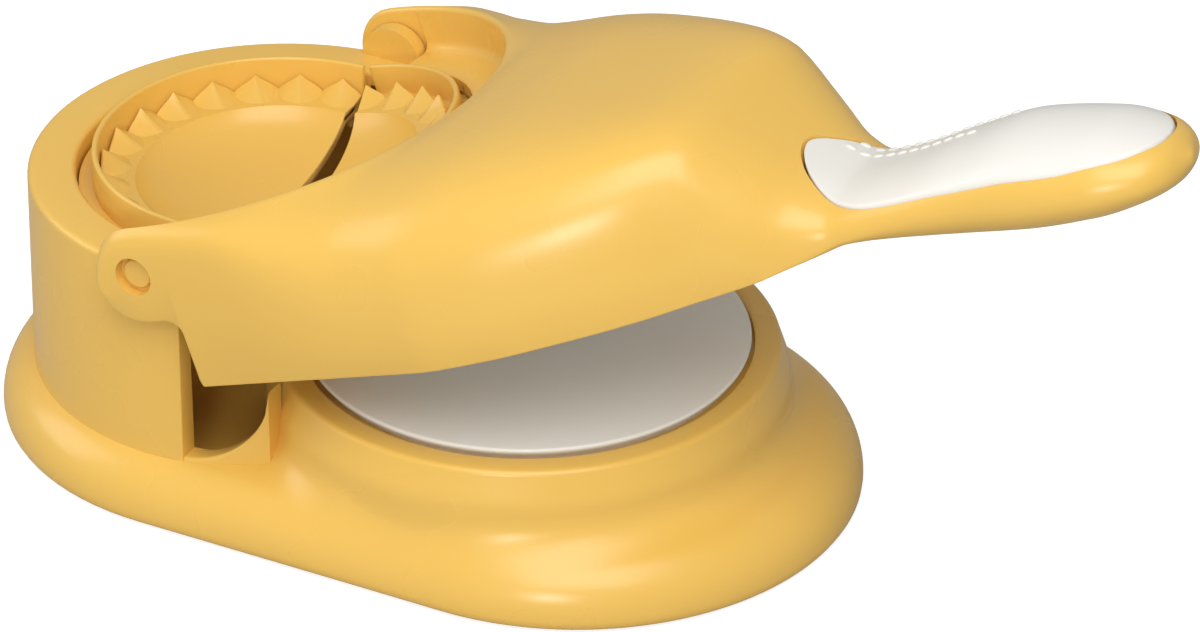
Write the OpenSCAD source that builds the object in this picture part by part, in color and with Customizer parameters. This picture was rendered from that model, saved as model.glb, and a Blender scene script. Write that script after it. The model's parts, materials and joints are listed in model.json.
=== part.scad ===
// Hand press for filled dough: a round plate pair presses the wrapper, and a
// half-moon mould at the hinge folds and crimps it.
// Millimetres. Z is up, X runs from the mould towards the handle.
// The lever is drawn closed, with its pivot at the origin, and is then put in place.

/* [Foot] */
// Radius of the round ends of the foot
foot_r = 60.4; // [58:0.2:66]
// Distance from the tower's axis to the centre of the foot's front end
foot_len = 72.5; // [68:0.5:84]
// Height of the foot's flat top above the ground
foot_top = 14.9; // [13:0.1:18]
// Radius of the foot's rounded edge
foot_edge = 12; // [9:0.5:12]
// Height of the foot's underside above the ground
foot_gap = 1; // [0.6:0.1:2]
// Thickness of the moulded skins
skin = 3; // [2.4:0.1:3.6]

/* [Tower] */
// Outer radius of the tower at its rim
tower_r = 52.5; // [52:0.1:53]
// Growth of that radius down to the ground, the mould's draft
tower_draft = 0.8; // [0.2:0.1:1]
// Height of the tower's rim
tower_top = 58.7; // [56:0.1:66]
// Thickness of the tower's wall
tower_wall = 4.1; // [3.4:0.1:4.6]
// How far the tower's wall runs forward of its axis
tower_front = 7.3; // [6.5:0.1:7.5]
// Radius of the hole that the mould stands in
bore_r = 42.2; // [42:0.1:43]
// Radius of the scoop in the two webs between tower and pad
web_scoop = 17.6; // [14:0.2:18]
// Height of the floor between tower and pad
well_floor = 8; // [8:0.5:11]

/* [Pad] */
// Distance from the tower's axis to the pad's axis
pad_x = 60.7; // [59:0.1:62]
// Outer radius of the pad's ring at its top
ring_r = 53; // [52:0.1:54]
// Height of the pad's ring
ring_top = 31.3; // [30:0.1:31.4]
// Radius of the pad's wall
pad_r = 55.4; // [55:0.1:56]
// Largest radius of the sweep from the pad's wall to the foot
pad_sweep = 7; // [5:0.5:14]

/* [Press plates] */
// Radius of both press plates
plate_r = 47; // [44:0.2:48]
// Thickness of a press plate
plate_t = 3.3; // [3:0.1:3.3]
// Dough left between the plates when the lever is down
dough = 1.3; // [1:0.1:1.6]

/* [Mould] */
// Radius of the bowls
bowl_r = 31.5; // [29:0.2:32.5]
// Depth of the bowls
bowl_d = 13.8; // [10:0.2:14]
// Wall thickness of the bowls
bowl_wall = 2; // [1.6:0.1:2.2]
// Radius of the ring of teeth
teeth_r = 37.4; // [36.5:0.1:37.5]
// Height of a tooth, and depth of the valleys below the fold line
teeth_h = 3.7; // [3:0.1:4]
// Angle from tooth to tooth
teeth_step = 15; // [15]
// Height of the rear mould's wall above the fold line
rear_lip = 3.4; // [2.4:0.1:3.6]
// Height of the front mould's wall above the fold line
front_lip = 2.4; // [1.6:0.1:2.8]
// Thickness of both mould walls
lip_t = 1.2; // [1:0.1:1.3]
// Gap on each side of the fold line
fold_gap = 0.5; // [0.4:0.1:1]

/* [Lever] */
// Tilt of the lever above its closed place
rest_tilt = 19.2; // [12:0.2:30]
// Half the lever's width over its arms
lever_half = 57.4; // [57.2:0.1:58]
// Thickness of the arms
arm_t = 3.7; // [3.5:0.1:3.9]
// Depth of the lever's lower edge below the pivot
skirt_drop = 26; // [25.8:0.1:26.2]
// Thickness of the lever's shell
shell_t = 3; // [2.6:0.1:3.4]
// Depth of the pocket's floor below the pivot
pocket_floor = 0.3; // [0.3:0.1:0.6]
// Gap between the tower's front and the edge of the pocket's floor
floor_gap = 0.8; // [0.6:0.1:1.4]

/* [Pivot] */
// Radius of the pivot pins
pin_r = 3.25; // [2.6:0.05:3.4]
// Radius of the bosses on the tower
boss_r = 7.1; // [6:0.1:7.3]
// Running clearance of the pins
pin_clear = 0.05; // [0.03:0.01:0.08]
// Depth of the recess over a pin's end
pin_recess = 1.5; // [0.8:0.1:1.8]

/* [Handle] */
// Thickness of the white inlay
inlay_t = 2.4; // [2:0.1:2.8]
// Gap around the inlay
inlay_gap = 0.2; // [0.1:0.05:0.3]
// Where the inlay begins, ahead of the pivot
inlay_start = 128; // [126:0.5:132]
// Where the inlay ends
inlay_end = 209; // [200:0.5:209.5]
// Largest half width of the inlay
inlay_half = 15; // [12:0.2:15.4]

/* [Screws] */
// Radius of a screw's thread
screw_r = 1.5; // [1.25:0.05:1.75]
// Radius of a screw's head
head_r = 3; // [2.6:0.1:3.2]
// Height of a screw's head
head_h = 1.6; // [1.2:0.1:1.7]

/* [Hidden] */
$fn = 96;

yellow = "#F4C163";
white = "#F2F1EC";
steel = "#B9BCC0";
rubber = "#3A3A3C";

eps = 0.01;            // overlap that joins the shapes of one solid
far = 300;             // reach of a cutting block
hole_clear = 0.1;      // clearance of a screw in its threaded hole
pass_clear = 0.3;      // clearance of a screw where it passes through
seat_clear = 0.3;      // clearance round a piece that drops into a recess

// Foot
edge_z = foot_top - foot_edge;            // height of the edge's centre
foot_sides = 64;                          // facets round the foot
foot_rings = 11;                          // facets from the pad to the foot's edge
tower_in = tower_r - tower_wall;
hollow_in = foot_edge + 2.4;              // wall round the hollow of the foot
web_top = ring_top + 1.2;
rim_round = 1.4;                          // rounding of the tower's rim

// Bottom cover and feet
cover_inset = 5.6;
cover_r = foot_r - cover_inset;
cover_t = 2.5;
cover_z = foot_gap + 0.5;                 // underside of the cover
cover_top = cover_z + cover_t;
cover_screw_r = cover_r - 4.4;            // the screws' distance from the end centres
pad_foot_r = 7;                           // radius of a rubber foot
pad_foot_sink = 1.2;                      // how deep it sits in the cover
pad_foot_in = cover_r - 8.2;              // its distance from the end centres
pad_foot_turn = 61;                       // its angle off the centre line
cover_screw_len = 8;

// Pad and lower plate
deck_z = ring_top + 1.5 - plate_t;        // top of the deck under the lower plate
plate_top = deck_z + plate_t;
spigot_r = 4;                             // spigots that hold a press plate
spigot_at = 30;                           // their distance from the plate's axis
plate_blind = 1.3;                        // skin left over a blind screw hole

// Pivot
pivot_x = 0.2;
pivot_z = tower_top + 0.4;
arm_in = lever_half - arm_t;              // inner face of the arms
pocket_r = arm_in;                        // wall of the pocket over the tower
boss_gap = 0.4;                           // gap between a boss and its arm
boss_out = arm_in - boss_gap;
boss_t = boss_out - tower_in - 0.8;       // a boss starts inside the tower's wall
pin_blind = 1;                            // skin left behind a pin
pin_in = boss_out - boss_t + pin_blind;   // inner end of a pin's bore
pin_out = lever_half - pin_recess;
recess_r = pin_r + 0.95;

// Mould
rear_wall_in = teeth_r + 0.3;             // the rear wall stands round its teeth
rear_wall_out = rear_wall_in + lip_t;
front_wall_in = rear_wall_out + 1.1;      // the front wall closes over the rear one
front_wall_out = front_wall_in + lip_t;
groove_d = rear_lip + 0.9;                // groove that the rear wall drops into
teeth_in = bowl_r - 2;                    // where the teeth run out in the bowl
mould_plate = 2.6;                        // thickness of a mould's flange
ledge_w = 9;                              // ledge under the rear mould
ledge_top = pivot_z - groove_d - mould_plate;
ledge_t = 2.6;
collar_t = 2.5;                           // collar that carries the ledge
front_flange_r = front_wall_out + 6.6;
front_screw_r = front_wall_out + 3.6;
rear_screw_r = teeth_r - 1.6;
mould_screws = [-50, 0, 50];              // the screws' angles

// Lever
crown = 9.8;                              // top of the arms and the pocket's lip
floor_start = tower_front - pivot_x + floor_gap;
floor_top = -pocket_floor;
floor_bot = floor_top - shell_t;
mouth_r = front_wall_out + 2.2;           // opening in the pocket's floor
skirt_z = -skirt_drop;
skirt_start = 7.6;                        // rear edge of the skirt
arm_low = -10.5;                          // lower edge of the arms
arm_fillet = 4;
pocket_fillet = 2.2;                      // between the pocket's wall and its floor
arm_mid = (crown + arm_low) / 2;          // the arms' round ends
arm_r = (crown - arm_low) / 2;
press_x = pad_x - pivot_x;                // axis of the upper plate
upper_bot = plate_top + dough - pivot_z;  // face of the upper plate
upper_top = upper_bot + plate_t;
carrier_t = 2.5;
carrier_top = upper_top + carrier_t;
carrier_gap = 0.4;
carrier_screw_spots = [[15.5, lever_half - 7.6], [102, lever_half - 26.9]];
carrier_end = 121;                        // front end of the carrier
carrier_rib_y = 18;                       // its ribs: distance from the centre line,
carrier_ribs = [42, 106];                 // start and end of the long ones,
cross_ribs = [48, 74, 98];                // places of the cross ones,
rib_t = 2;                                // thickness and heights
rib_high = 9;
rib_low = 7;
carrier_boss_r = 4;

// Stations of the lever: distance from the pivot, half width, height of the
// crown, height of the widest line, height of the underside, and roundness.
stations = [
    [skirt_start, lever_half, crown, skirt_z, skirt_z, 18],
    [20, lever_half, crown, skirt_z, skirt_z, 14],
    [28, lever_half, crown, skirt_z, skirt_z, 8.5],
    [35, lever_half, crown, skirt_z, skirt_z, 5.7],
    [48, lever_half, crown + 0.3, skirt_z, skirt_z, 4.0],
    [60, lever_half, crown + 1.0, skirt_z, skirt_z, 3.8],
    [75, lever_half - 3.2, crown + 1.7, skirt_z, skirt_z, 3.8],
    [90, lever_half - 9.5, crown + 1.1, skirt_z, skirt_z, 4.0],
    [105, lever_half - 17.6, crown + 0.1, skirt_z, skirt_z, 4.2],
    [115, lever_half - 24.8, crown - 2.1, skirt_z, skirt_z, 4.6],
    [124, 27.4, -0.8, -25.1, -25.6, 3.4],
    [132, 21.4, -10.0, -23.7, -25, 2.8],
    [140, 17.6, -13.8, -22.2, -24.5, 2.4],
    [150, 17.0, -12.6, -20.4, -25.2, 2.2],
    [165, 17.2, -9.0, -18.6, -26, 2.1],
    [180, 17.8, -6.4, -17.9, -26.2, 2.1],
    [195, 16.8, -7.4, -17.7, -25.1, 2.1],
    [205, 13.4, -10.0, -17.7, -23.1, 2.1],
    [210, 8.4, -12.8, -17.5, -21.3, 2.1],
    [212.6, 0.8, -16.6, -17.3, -18.2, 2.0]];
under_round = 2.3;                        // roundness of the handle's underside
section_steps = 7;                        // facets over each half of a section
hollow_end = 126;                         // where the hollow under the dome ends
dome_x = [skirt_start, 14, 20, 27, 34, 41, 50, 60, 70, 80, 90, 99, 108, 115, 121, hollow_end];
handle_x = [hollow_end, 132, 140, 150, 160, 171, 183, 194, 202, 207, 210, 212, 212.6];
handle_hollow_z = -22;                    // floor of the hollow in the handle
handle_slot = 9;                          // half width of that hollow
inlay_screw_x = [149, 192];
inlay_boss_r = 3.6;
post_low = -19;                           // underside of the inlay's posts
post_skin = 1.6;                          // how far the posts stay below the surface
screw_tip = -14.6;                        // tips of the inlay's screws
// Floor of the inlay's seat: distance from the pivot and height
seat = [[124, -10.6], [130, -12.4], [134, -15.2], [139, -17], [150, -17.2], [165, -16.4],
        [175, -15.4], [185, -15.2], [195, -15.6], [203, -15.4], [214, -13]];

// The object's origin lies under the middle of its outline
tip_reach = max([for (p = lever_points(handle_x)) p[0] * cos(rest_tilt) - p[2] * sin(rest_tilt)]);
origin_x = (pivot_x + tip_reach - foot_r) / 2;

// ---------------------------------------------------------------- curves

// Smooth value between stations: column c of list s at distance x
function station(s, x, c) =
    let (n = len(s), i = max([for (k = [0 : n - 2]) x >= s[k][0] - eps ? k : 0]),
         h = s[i + 1][0] - s[i][0], t = min(1, max(0, (x - s[i][0]) / h)),
         a = slope(s, i, c) * h, b = slope(s, i + 1, c) * h)
    (2 * t * t * t - 3 * t * t + 1) * s[i][c] + (t * t * t - 2 * t * t + t) * a
    + (3 * t * t - 2 * t * t * t) * s[i + 1][c] + (t * t * t - t * t) * b;

function secant(s, i, c) = (s[i + 1][c] - s[i][c]) / (s[i + 1][0] - s[i][0]);

// Slope at station i that doesn't overshoot its neighbours
function slope(s, i, c) =
    let (n = len(s) - 1,
         l = i == 0 ? secant(s, 0, c) : secant(s, i - 1, c),
         r = i == n ? secant(s, n - 1, c) : secant(s, i, c))
    l * r <= 0 ? 0 : 2 * l * r / (l + r);

function sgn_pow(v, p) = (v < 0 ? -1 : 1) * pow(abs(v), p);

// One closed section at x: over the top, then back along the underside
function section(x) =
    let (w = station(stations, x, 1), top = station(stations, x, 2),
         mid = station(stations, x, 3), low = station(stations, x, 4),
         e = 2 / station(stations, x, 5), u = 2 / under_round, m = section_steps)
    [for (k = [0 : 2 * m - 1])
        let (a = 90 * k / m, c = sgn_pow(cos(a), e), s = pow(max(0, sin(a)), e))
        [x, w * c, mid + (top - mid) * s],
     for (k = [0 : 2 * m - 1])
        let (a = 90 * k / m, c = sgn_pow(cos(a), u), s = pow(max(0, sin(a)), u))
        [x, -w * c, mid - (mid - low) * s]];

function lever_points(xs) = [for (x = xs) each section(x)];

// Sides of a solid between rings a and b of n points, b further from the pivot
function band(a, b, n) = [for (k = [0 : n - 1])
    each [[a[k], b[(k + 1) % n], a[(k + 1) % n]], [a[k], b[k], b[(k + 1) % n]]]];

// A solid through rings of points, each turning the same way
module through(rings) {
    n = len(rings[0]);
    last = len(rings) - 1;
    function ring_of(i) = [for (k = [0 : n - 1]) i * n + k];
    polyhedron([for (r = rings) each r],
        concat([ring_of(0)], [for (i = [0 : last - 1]) each band(ring_of(i), ring_of(i + 1), n)],
               [[for (k = [n - 1 : -1 : 0]) last * n + k]]), convexity = 6);
}

// Underside of the shell at x, from side to side
function inner_section(x) =
    let (w = station(stations, x, 1) - shell_t, top = station(stations, x, 2) - shell_t,
         mid = station(stations, x, 3), e = 2 / station(stations, x, 5), m = section_steps)
    [for (k = [0 : 2 * m])
        let (a = 90 * k / m, s = pow(max(0, sin(a)), e))
        [x, -w * sgn_pow(cos(a), e), mid + (top - mid) * s]];

function upper_half(x) = concat([for (k = [0 : 2 * section_steps - 1]) section(x)[k]],
                                [section(x)[2 * section_steps]]);

// Dome and handle in one: a hollow shell up to hollow_end, and closed from there on
module lever_body() {
    m = section_steps;
    nu = 4 * m + 2;
    ns = 4 * m;
    a = len(dome_x);
    b = len(handle_x);
    seam = [for (k = [2 * m + 1 : ns - 1]) section(hollow_end)[k]];
    points = concat(
        [for (x = dome_x) each concat(upper_half(x), inner_section(x))], seam,
        [for (i = [1 : b - 1]) each section(handle_x[i])]);
    function open_ring(i) = [for (k = [0 : nu - 1]) i * nu + k];
    function shut_ring(i) = [for (k = [0 : ns - 1])
        i > 0 ? a * nu + 2 * m - 1 + (i - 1) * ns + k
        : k <= 2 * m ? (a - 1) * nu + k : a * nu + k - 2 * m - 1];
    // strips close the open end and the end of the hollow
    end_strips = [for (k = [0 : 2 * m - 1])
        each [[k, k + 1, nu - 2 - k], [k, nu - 2 - k, nu - 1 - k]]];
    arch = [for (k = [2 * m + 1 : nu - 1]) (a - 1) * nu + k];
    base = concat([for (k = [2 * m : ns - 1]) shut_ring(0)[k]], [(a - 1) * nu]);
    wall_strips = [for (k = [0 : 2 * m - 1])
        each [[arch[k], base[k], base[k + 1]], [arch[k], base[k + 1], arch[k + 1]]]];
    tip = shut_ring(b - 1);
    polyhedron(points, concat(
        end_strips, [for (i = [0 : a - 2]) each band(open_ring(i), open_ring(i + 1), nu)], wall_strips,
        [for (i = [0 : b - 2]) each band(shut_ring(i), shut_ring(i + 1), ns)],
        [[for (k = [ns - 1 : -1 : 0]) tip[k]]]), convexity = 8);
}

// Height of the dome's outside over a point of the lever
function dome_z(x, y) =
    let (n = station(stations, x, 5), mid = station(stations, x, 3),
         share = min(1, abs(y) / station(stations, x, 1)))
    mid + (station(stations, x, 2) - mid) * pow(1 - pow(share, n), 1 / n);

// Half width of the inlay at x
inlay_nose = 22;
inlay_tail = inlay_end - 175;
inlay_slim = 1.2;                         // how much slimmer it is at the neck
function inlay_w(x) =
    let (nose = max(0, inlay_start + inlay_nose - x) / inlay_nose,
         tail = max(0, x - inlay_end + inlay_tail) / inlay_tail,
         at_neck = min(1, max(0, (175 - x) / 25)))
    (inlay_half - inlay_slim * at_neck)
    * sqrt(max(0, 1 - pow(min(1, nose), 2.2))) * sqrt(max(0, 1 - pow(min(1, tail), 3)));

module inlay_outline(grow) {
    m = 16;
    mid = (inlay_start + inlay_end) / 2;
    half = (inlay_end - inlay_start) / 2;
    edge = [for (k = [0 : m]) let (c = cos(180 * k / m), x = mid - half * c)
            [mid - (half + grow) * c, k % m == 0 ? 0 : inlay_w(x) + grow]];
    polygon(concat(edge, [for (k = [m - 1 : -1 : 1]) [edge[k][0], -edge[k][1]]]));
}

// ---------------------------------------------------------------- places

module at_origin() translate([-origin_x, 0, 0]) children();

// Puts what is drawn round the pivot, with the lever closed, into its resting tilt
module in_lever() at_origin() translate([pivot_x, 0, pivot_z]) rotate([0, -rest_tilt, 0]) children();

module both_sides() {
    children();
    mirror([0, 1, 0]) children();
}

module ring(outer, inner, height) difference() {
    cylinder(r = outer, h = height);
    translate([0, 0, -1]) cylinder(r = inner, h = height + 2);
}

// A screw that points up from its head's seat at the origin
module screw(length, head = head_r) {
    translate([0, 0, -eps]) cylinder(r = screw_r, h = length + eps);
    translate([0, 0, -head_h]) difference() {
        cylinder(r = head, h = head_h);
        translate([0, 0, -eps]) cylinder(r = head * 0.5, h = head_h * 0.6, $fn = 6);
    }
}

// ---------------------------------------------------------------- foot

// Distance from a point to the foot's outline, along the ground
function edge_gap(x, y) = foot_r - norm([x - min(foot_len, max(0, x)), y]);

// Distance from the pad's axis to the outline at angle a
function reach(a) =
    let (cx = pad_x < foot_len ? foot_len - pad_x : 0, c = cos(a), s = abs(sin(a)),
         side = s > eps ? foot_r / s : 1000, side_x = pad_x + side * c)
    side_x > foot_len ? cx * c + sqrt(foot_r * foot_r - cx * cx * s * s)
    : side_x < 0 ? -pad_x * c + sqrt(foot_r * foot_r - pad_x * pad_x * s * s) : side;

// Height of the foot's top: a round edge, and a sweep up to the pad's wall
function foot_z(x, y, a) =
    let (e = min(foot_edge, max(0, edge_gap(x, y))), q = foot_edge - e,
         r = norm([x - pad_x, y]), f = min(pad_sweep, reach(a) - pad_r), u = max(0, pad_r + f - max(r, pad_r)))
    edge_z + sqrt(foot_edge * foot_edge - q * q) + f - sqrt(max(0, f * f - u * u));

module foot_body() {
    n = foot_sides;
    hug = pad_r - 1.4;
    function at(r, a) = [pad_x + r * cos(a), r * sin(a)];
    function spot(r, a) = let (p = at(r, a)) [p[0], p[1], foot_z(p[0], p[1], a)];
    function low(r, a, z) = let (p = at(r, a)) [p[0], p[1], z];
    function share(j) = 1 - cos(90 * j / foot_rings);
    angles = [for (i = [0 : n - 1]) 360 * i / n];
    points = concat(
        [[pad_x, 0, foot_gap]],
        [for (a = angles) low(reach(a) - 1.2, a, foot_gap)],
        [for (a = angles) low(reach(a) - 0.2, a, foot_gap + 1)],
        [for (j = [0 : foot_rings], a = angles) spot(reach(a) - share(j) * (reach(a) - hug), a)],
        [[pad_x, 0, foot_top]]);
    rings = foot_rings + 3;
    last = rings * n + 1;
    faces = concat(
        [for (i = [0 : n - 1]) [0, 1 + i, 1 + (i + 1) % n]],
        [for (j = [0 : rings - 2], i = [0 : n - 1])
            [1 + j * n + i, 1 + (j + 1) * n + i, 1 + (j + 1) * n + (i + 1) % n]],
        [for (j = [0 : rings - 2], i = [0 : n - 1])
            [1 + j * n + i, 1 + (j + 1) * n + (i + 1) % n, 1 + j * n + (i + 1) % n]],
        [for (i = [0 : n - 1]) [last, last - n + (i + 1) % n, last - n + i]]);
    polyhedron(points, faces, convexity = 6);
}

// A slot shape with round ends
module stadium(r, length) {
    circle(r = r);
    translate([length, 0]) circle(r = r);
    translate([0, -r]) square([length, 2 * r]);
}

// Leaves the place of each rubber foot as the origin
module at_pad_foot(k) {
    front = k > 2;
    side = k % 2 == 1 ? -1 : 1;
    turn = front ? pad_foot_turn : 180 - pad_foot_turn;
    translate([(front ? foot_len : 0) + pad_foot_in * cos(turn), side * pad_foot_in * sin(turn), 0])
        children();
}

module at_cover_screws() {
    for (front = [0, 1], side = [-1, 1]) {
        turn = front == 1 ? 45 : 135;
        translate([front * foot_len + cover_screw_r * cos(turn), side * cover_screw_r * sin(turn), 0])
            children();
    }
}

module at_spigots(axis_x) for (k = [0 : 2])
    translate([axis_x + spigot_at * cos(120 * k + 60), spigot_at * sin(120 * k + 60), 0]) children();

module tower_body() {
    rotate_extrude() polygon(concat(
        [[0, foot_gap], [tower_r + tower_draft, foot_gap]],
        [for (a = [0 : 15 : 90])
            [tower_r - rim_round + rim_round * cos(a), tower_top - rim_round + rim_round * sin(a)]],
        [[0, tower_top]]));
}

module pad_body() {
    translate([pad_x, 0, 0]) rotate_extrude() polygon(concat(
        [[0, foot_gap + 4], [pad_r, foot_gap + 4], [pad_r, foot_top + 9], [ring_r + 0.6, ring_top - 1.8]],
        [for (a = [15 : 15 : 90]) [ring_r - 1.2 + 1.2 * cos(a), ring_top - 1.2 + 1.2 * sin(a)]],
        [[0, ring_top]]));
}

// Webs that carry the tower's wall on to the pad
module webs() difference() {
    intersection() {
        translate([0, 0, well_floor - 1]) ring(tower_r + tower_draft / 2, tower_in, web_top - well_floor + 1);
        translate([tower_front - 1, -far, 0]) cube([web_scoop + 1, 2 * far, far]);
    }
    translate([tower_front, 0, web_top]) rotate([90, 0, 0]) cylinder(r = web_scoop, h = 2 * far, center = true);
}

module well() difference() {
    translate([0, 0, well_floor]) cylinder(r = tower_in, h = tower_top - skin - well_floor);
    translate([pad_x, 0, 0]) cylinder(r = pad_r, h = ring_top - 1);
}

// Half collar and ledge that the rear mould stands on
module mould_seat() intersection() {
    translate([0, 0, ledge_top - ledge_t]) difference() {
        cylinder(r = bore_r + collar_t, h = tower_top - skin - ledge_top + ledge_t + eps);
        translate([0, 0, ledge_t]) cylinder(r = bore_r, h = far);
        translate([0, 0, -1]) cylinder(r = bore_r - ledge_w, h = far);
        for (a = mould_screws) rotate(180 + a) translate([rear_screw_r, 0, -1])
            cylinder(r = screw_r + pass_clear, h = far);
    }
    translate([-far - 1, -far, 0]) cube([far, 2 * far, far]);
}

module base_shell() color(yellow) at_origin() {
    difference() {
        union() {
            foot_body();
            pad_body();
            difference() {
                intersection() {
                    tower_body();
                    translate([-far, -far, 0]) cube([far + tower_front, 2 * far, far]);
                }
                translate([0, 0, ledge_top]) cylinder(r = bore_r, h = far);
            }
            webs();
            both_sides() translate([pivot_x, boss_out, pivot_z]) rotate([90, 0, 0])
                cylinder(r = boss_r, h = boss_t);
        }
        well();
        // pin bores
        both_sides() translate([pivot_x, pin_in, pivot_z]) rotate([-90, 0, 0])
            cylinder(r = pin_r + pin_clear, h = far);
        // seat and holes of the lower plate
        translate([pad_x, 0, deck_z]) cylinder(r = plate_r + seat_clear * 2, h = far);
        at_spigots(pad_x) cylinder(r = spigot_r + seat_clear, h = far);
        // hollow under the pad
        translate([pad_x, 0, 0]) cylinder(r = ring_r - skin, h = deck_z - skin);
        // hollow of the foot, and the recess for its cover
        difference() {
            linear_extrude(height = foot_top - skin) stadium(foot_r - hollow_in, foot_len);
            translate([0, 0, well_floor - skin]) cylinder(r = tower_r - 1, h = far);
        }
        linear_extrude(height = cover_top) stadium(cover_r + seat_clear, foot_len);
        at_cover_screws() cylinder(r = screw_r + hole_clear, h = cover_top + cover_screw_len + 1);
    }
    mould_seat();
}

module bottom_cover() color(yellow) at_origin() difference() {
    translate([0, 0, cover_z]) linear_extrude(height = cover_t) stadium(cover_r, foot_len);
    for (k = [1 : 4]) at_pad_foot(k) cylinder(r = pad_foot_r + 0.2, h = cover_z + pad_foot_sink);
    at_cover_screws() {
        cylinder(r = screw_r + pass_clear, h = far);
        cylinder(r = head_r + pass_clear, h = cover_z + head_h + 0.1);
    }
}

module rubber_foot(k) color(rubber) at_origin() at_pad_foot(k) rotate_extrude()
    polygon([[0, 0], [pad_foot_r - 0.8, 0], [pad_foot_r, 0.8],
             [pad_foot_r, cover_z + pad_foot_sink], [0, cover_z + pad_foot_sink]]);

module cover_screws() color(steel) at_origin() at_cover_screws()
    translate([0, 0, cover_z + head_h + 0.1]) screw(cover_screw_len);

// ---------------------------------------------------------------- plates

// A press plate with its working face up at z = 0 and its spigots below
module press_plate(spigot) difference() {
    union() {
        rotate_extrude() polygon([[0, -plate_t], [plate_r - 0.6, -plate_t], [plate_r, -plate_t + 0.6],
                                  [plate_r, -0.6], [plate_r - 0.6, 0], [0, 0]]);
        translate([0, 0, -plate_t - spigot]) at_spigots(0) cylinder(r = spigot_r, h = spigot + eps);
    }
    translate([0, 0, -plate_t - spigot - eps]) at_spigots(0)
        cylinder(r = screw_r + hole_clear, h = spigot + plate_t - plate_blind);
}

spigot_head = spigot_r + 1.6;
spigot_screw = plate_t + skin - plate_blind - 0.6;

module lower_plate() color(white) at_origin() translate([pad_x, 0, plate_top]) press_plate(skin);

module lower_plate_screws() color(steel) at_origin()
    translate([0, 0, deck_z - skin]) at_spigots(pad_x) screw(spigot_screw, spigot_head);

module upper_plate() color(white) in_lever()
    translate([press_x, 0, upper_bot]) rotate([180, 0, 0]) press_plate(carrier_t);

module upper_plate_screws() color(steel) in_lever()
    translate([press_x, 0, carrier_top]) rotate([180, 0, 0])
        at_spigots(0) screw(spigot_screw - skin + carrier_t, spigot_head);

// ---------------------------------------------------------------- moulds

function bowl_z(r, radius, depth) = -depth * sqrt(max(0, 1 - pow(r / radius, 2)));

// Whole round mould, teeth up, fold line at z = 0. The halves are cut from it.
module mould_round(wall_in, wall_out, lip, flange) {
    steps = 14;
    under = -groove_d - mould_plate;
    outer_r = bowl_r + bowl_wall;
    outer_d = bowl_d + bowl_wall;
    join_r = outer_r * sqrt(1 - pow(under / outer_d, 2));
    brim = teeth_h + 0.5;
    brim_r = bowl_r * sqrt(1 - pow(brim / bowl_d, 2));
    rotate_extrude() polygon(concat(
        [for (k = [0 : steps]) let (r = brim_r * sin(90 * k / steps)) [r, bowl_z(r, bowl_r, bowl_d)]],
        [[teeth_r - 0.4, -brim], [teeth_r - 0.4, -groove_d], [wall_in, -groove_d], [wall_in, lip - 0.3],
         [wall_in + 0.3, lip], [wall_out - 0.3, lip], [wall_out, lip - 0.3],
         [wall_out, -groove_d], [flange, -groove_d], [flange, under]],
        [for (k = [steps : -1 : 0]) let (r = join_r * sin(90 * k / steps)) [r, bowl_z(r, outer_r, outer_d)]]));
}

// Half ring of teeth that rise outwards from the bowl to the fold line.
// A tip or a valley, whichever tip_first says, stands on the centre line.
module teeth(tip_first) {
    steps = 2 * ceil((90 + teeth_step / 2) / teeth_step);
    low = bowl_z(teeth_in, bowl_r, bowl_d);
    through([for (k = [-steps : steps])
        let (a = k * teeth_step / 2, c = cos(a), s = sin(a),
             tip = abs(k) % 2 == (tip_first ? 0 : 1) ? -0.02 : -teeth_h)
        [[teeth_in * c, teeth_in * s, low - 0.4], [teeth_r * c, teeth_r * s, tip],
         [teeth_r * c, teeth_r * s, -teeth_h - 1.3], [teeth_in * c, teeth_in * s, low - 1.2]]]);
}

module half_mould(wall_in, wall_out, lip, flange, flange_from, tip_first) difference() {
    intersection() {
        union() {
            mould_round(wall_in, wall_out, lip, flange);
            teeth(tip_first);
        }
        translate([fold_gap, -far, -far]) cube(2 * far);
    }
    // the flange starts further out than the bowl
    difference() {
        translate([-far + flange_from, -far, -far]) cube([far, 2 * far, 2 * far]);
        translate([0, 0, -far]) cylinder(r = wall_out, h = 2 * far);
    }
}

module front_mould() color(yellow) in_lever() difference() {
    half_mould(front_wall_in, front_wall_out, front_lip, front_flange_r, floor_start + 1, true);
    for (a = mould_screws) rotate(a) translate([front_screw_r, 0, -far])
        cylinder(r = screw_r + pass_clear, h = far);
}

module rear_mould() color(yellow) at_origin() translate([pivot_x, 0, pivot_z]) rotate(180) difference() {
    half_mould(rear_wall_in, rear_wall_out, rear_lip, bore_r - seat_clear, -1, false);
    for (a = mould_screws) rotate(a) translate([rear_screw_r, 0, -groove_d - mould_plate - 1])
        cylinder(r = screw_r + hole_clear, h = 1 + mould_plate);
}

module front_mould_screws() color(steel) in_lever()
    for (a = mould_screws) rotate(a) translate([front_screw_r, 0, -groove_d - mould_plate])
        screw(mould_plate + groove_d + floor_top - 1);

module rear_mould_screws() color(steel) at_origin() translate([pivot_x, 0, ledge_top - ledge_t])
    for (a = mould_screws) rotate(180 + a) translate([rear_screw_r, 0, 0])
        screw(ledge_t + mould_plate - 0.4);

// ---------------------------------------------------------------- pivot

module pivot_pin(side) color(yellow) at_origin() translate([pivot_x, side * (pin_in + 0.1), pivot_z])
    rotate([-90 * side, 0, 0]) {
        length = pin_out - pin_in - 0.1;
        rotate_extrude() polygon([[0, 0], [pin_r - 0.4, 0], [pin_r, 0.4], [pin_r, length - 0.3],
                                  [pin_r - 0.3, length], [0, length]]);
    }

module pivot_pin_near() pivot_pin(-1);
module pivot_pin_far() pivot_pin(1);

// ---------------------------------------------------------------- lever

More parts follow.
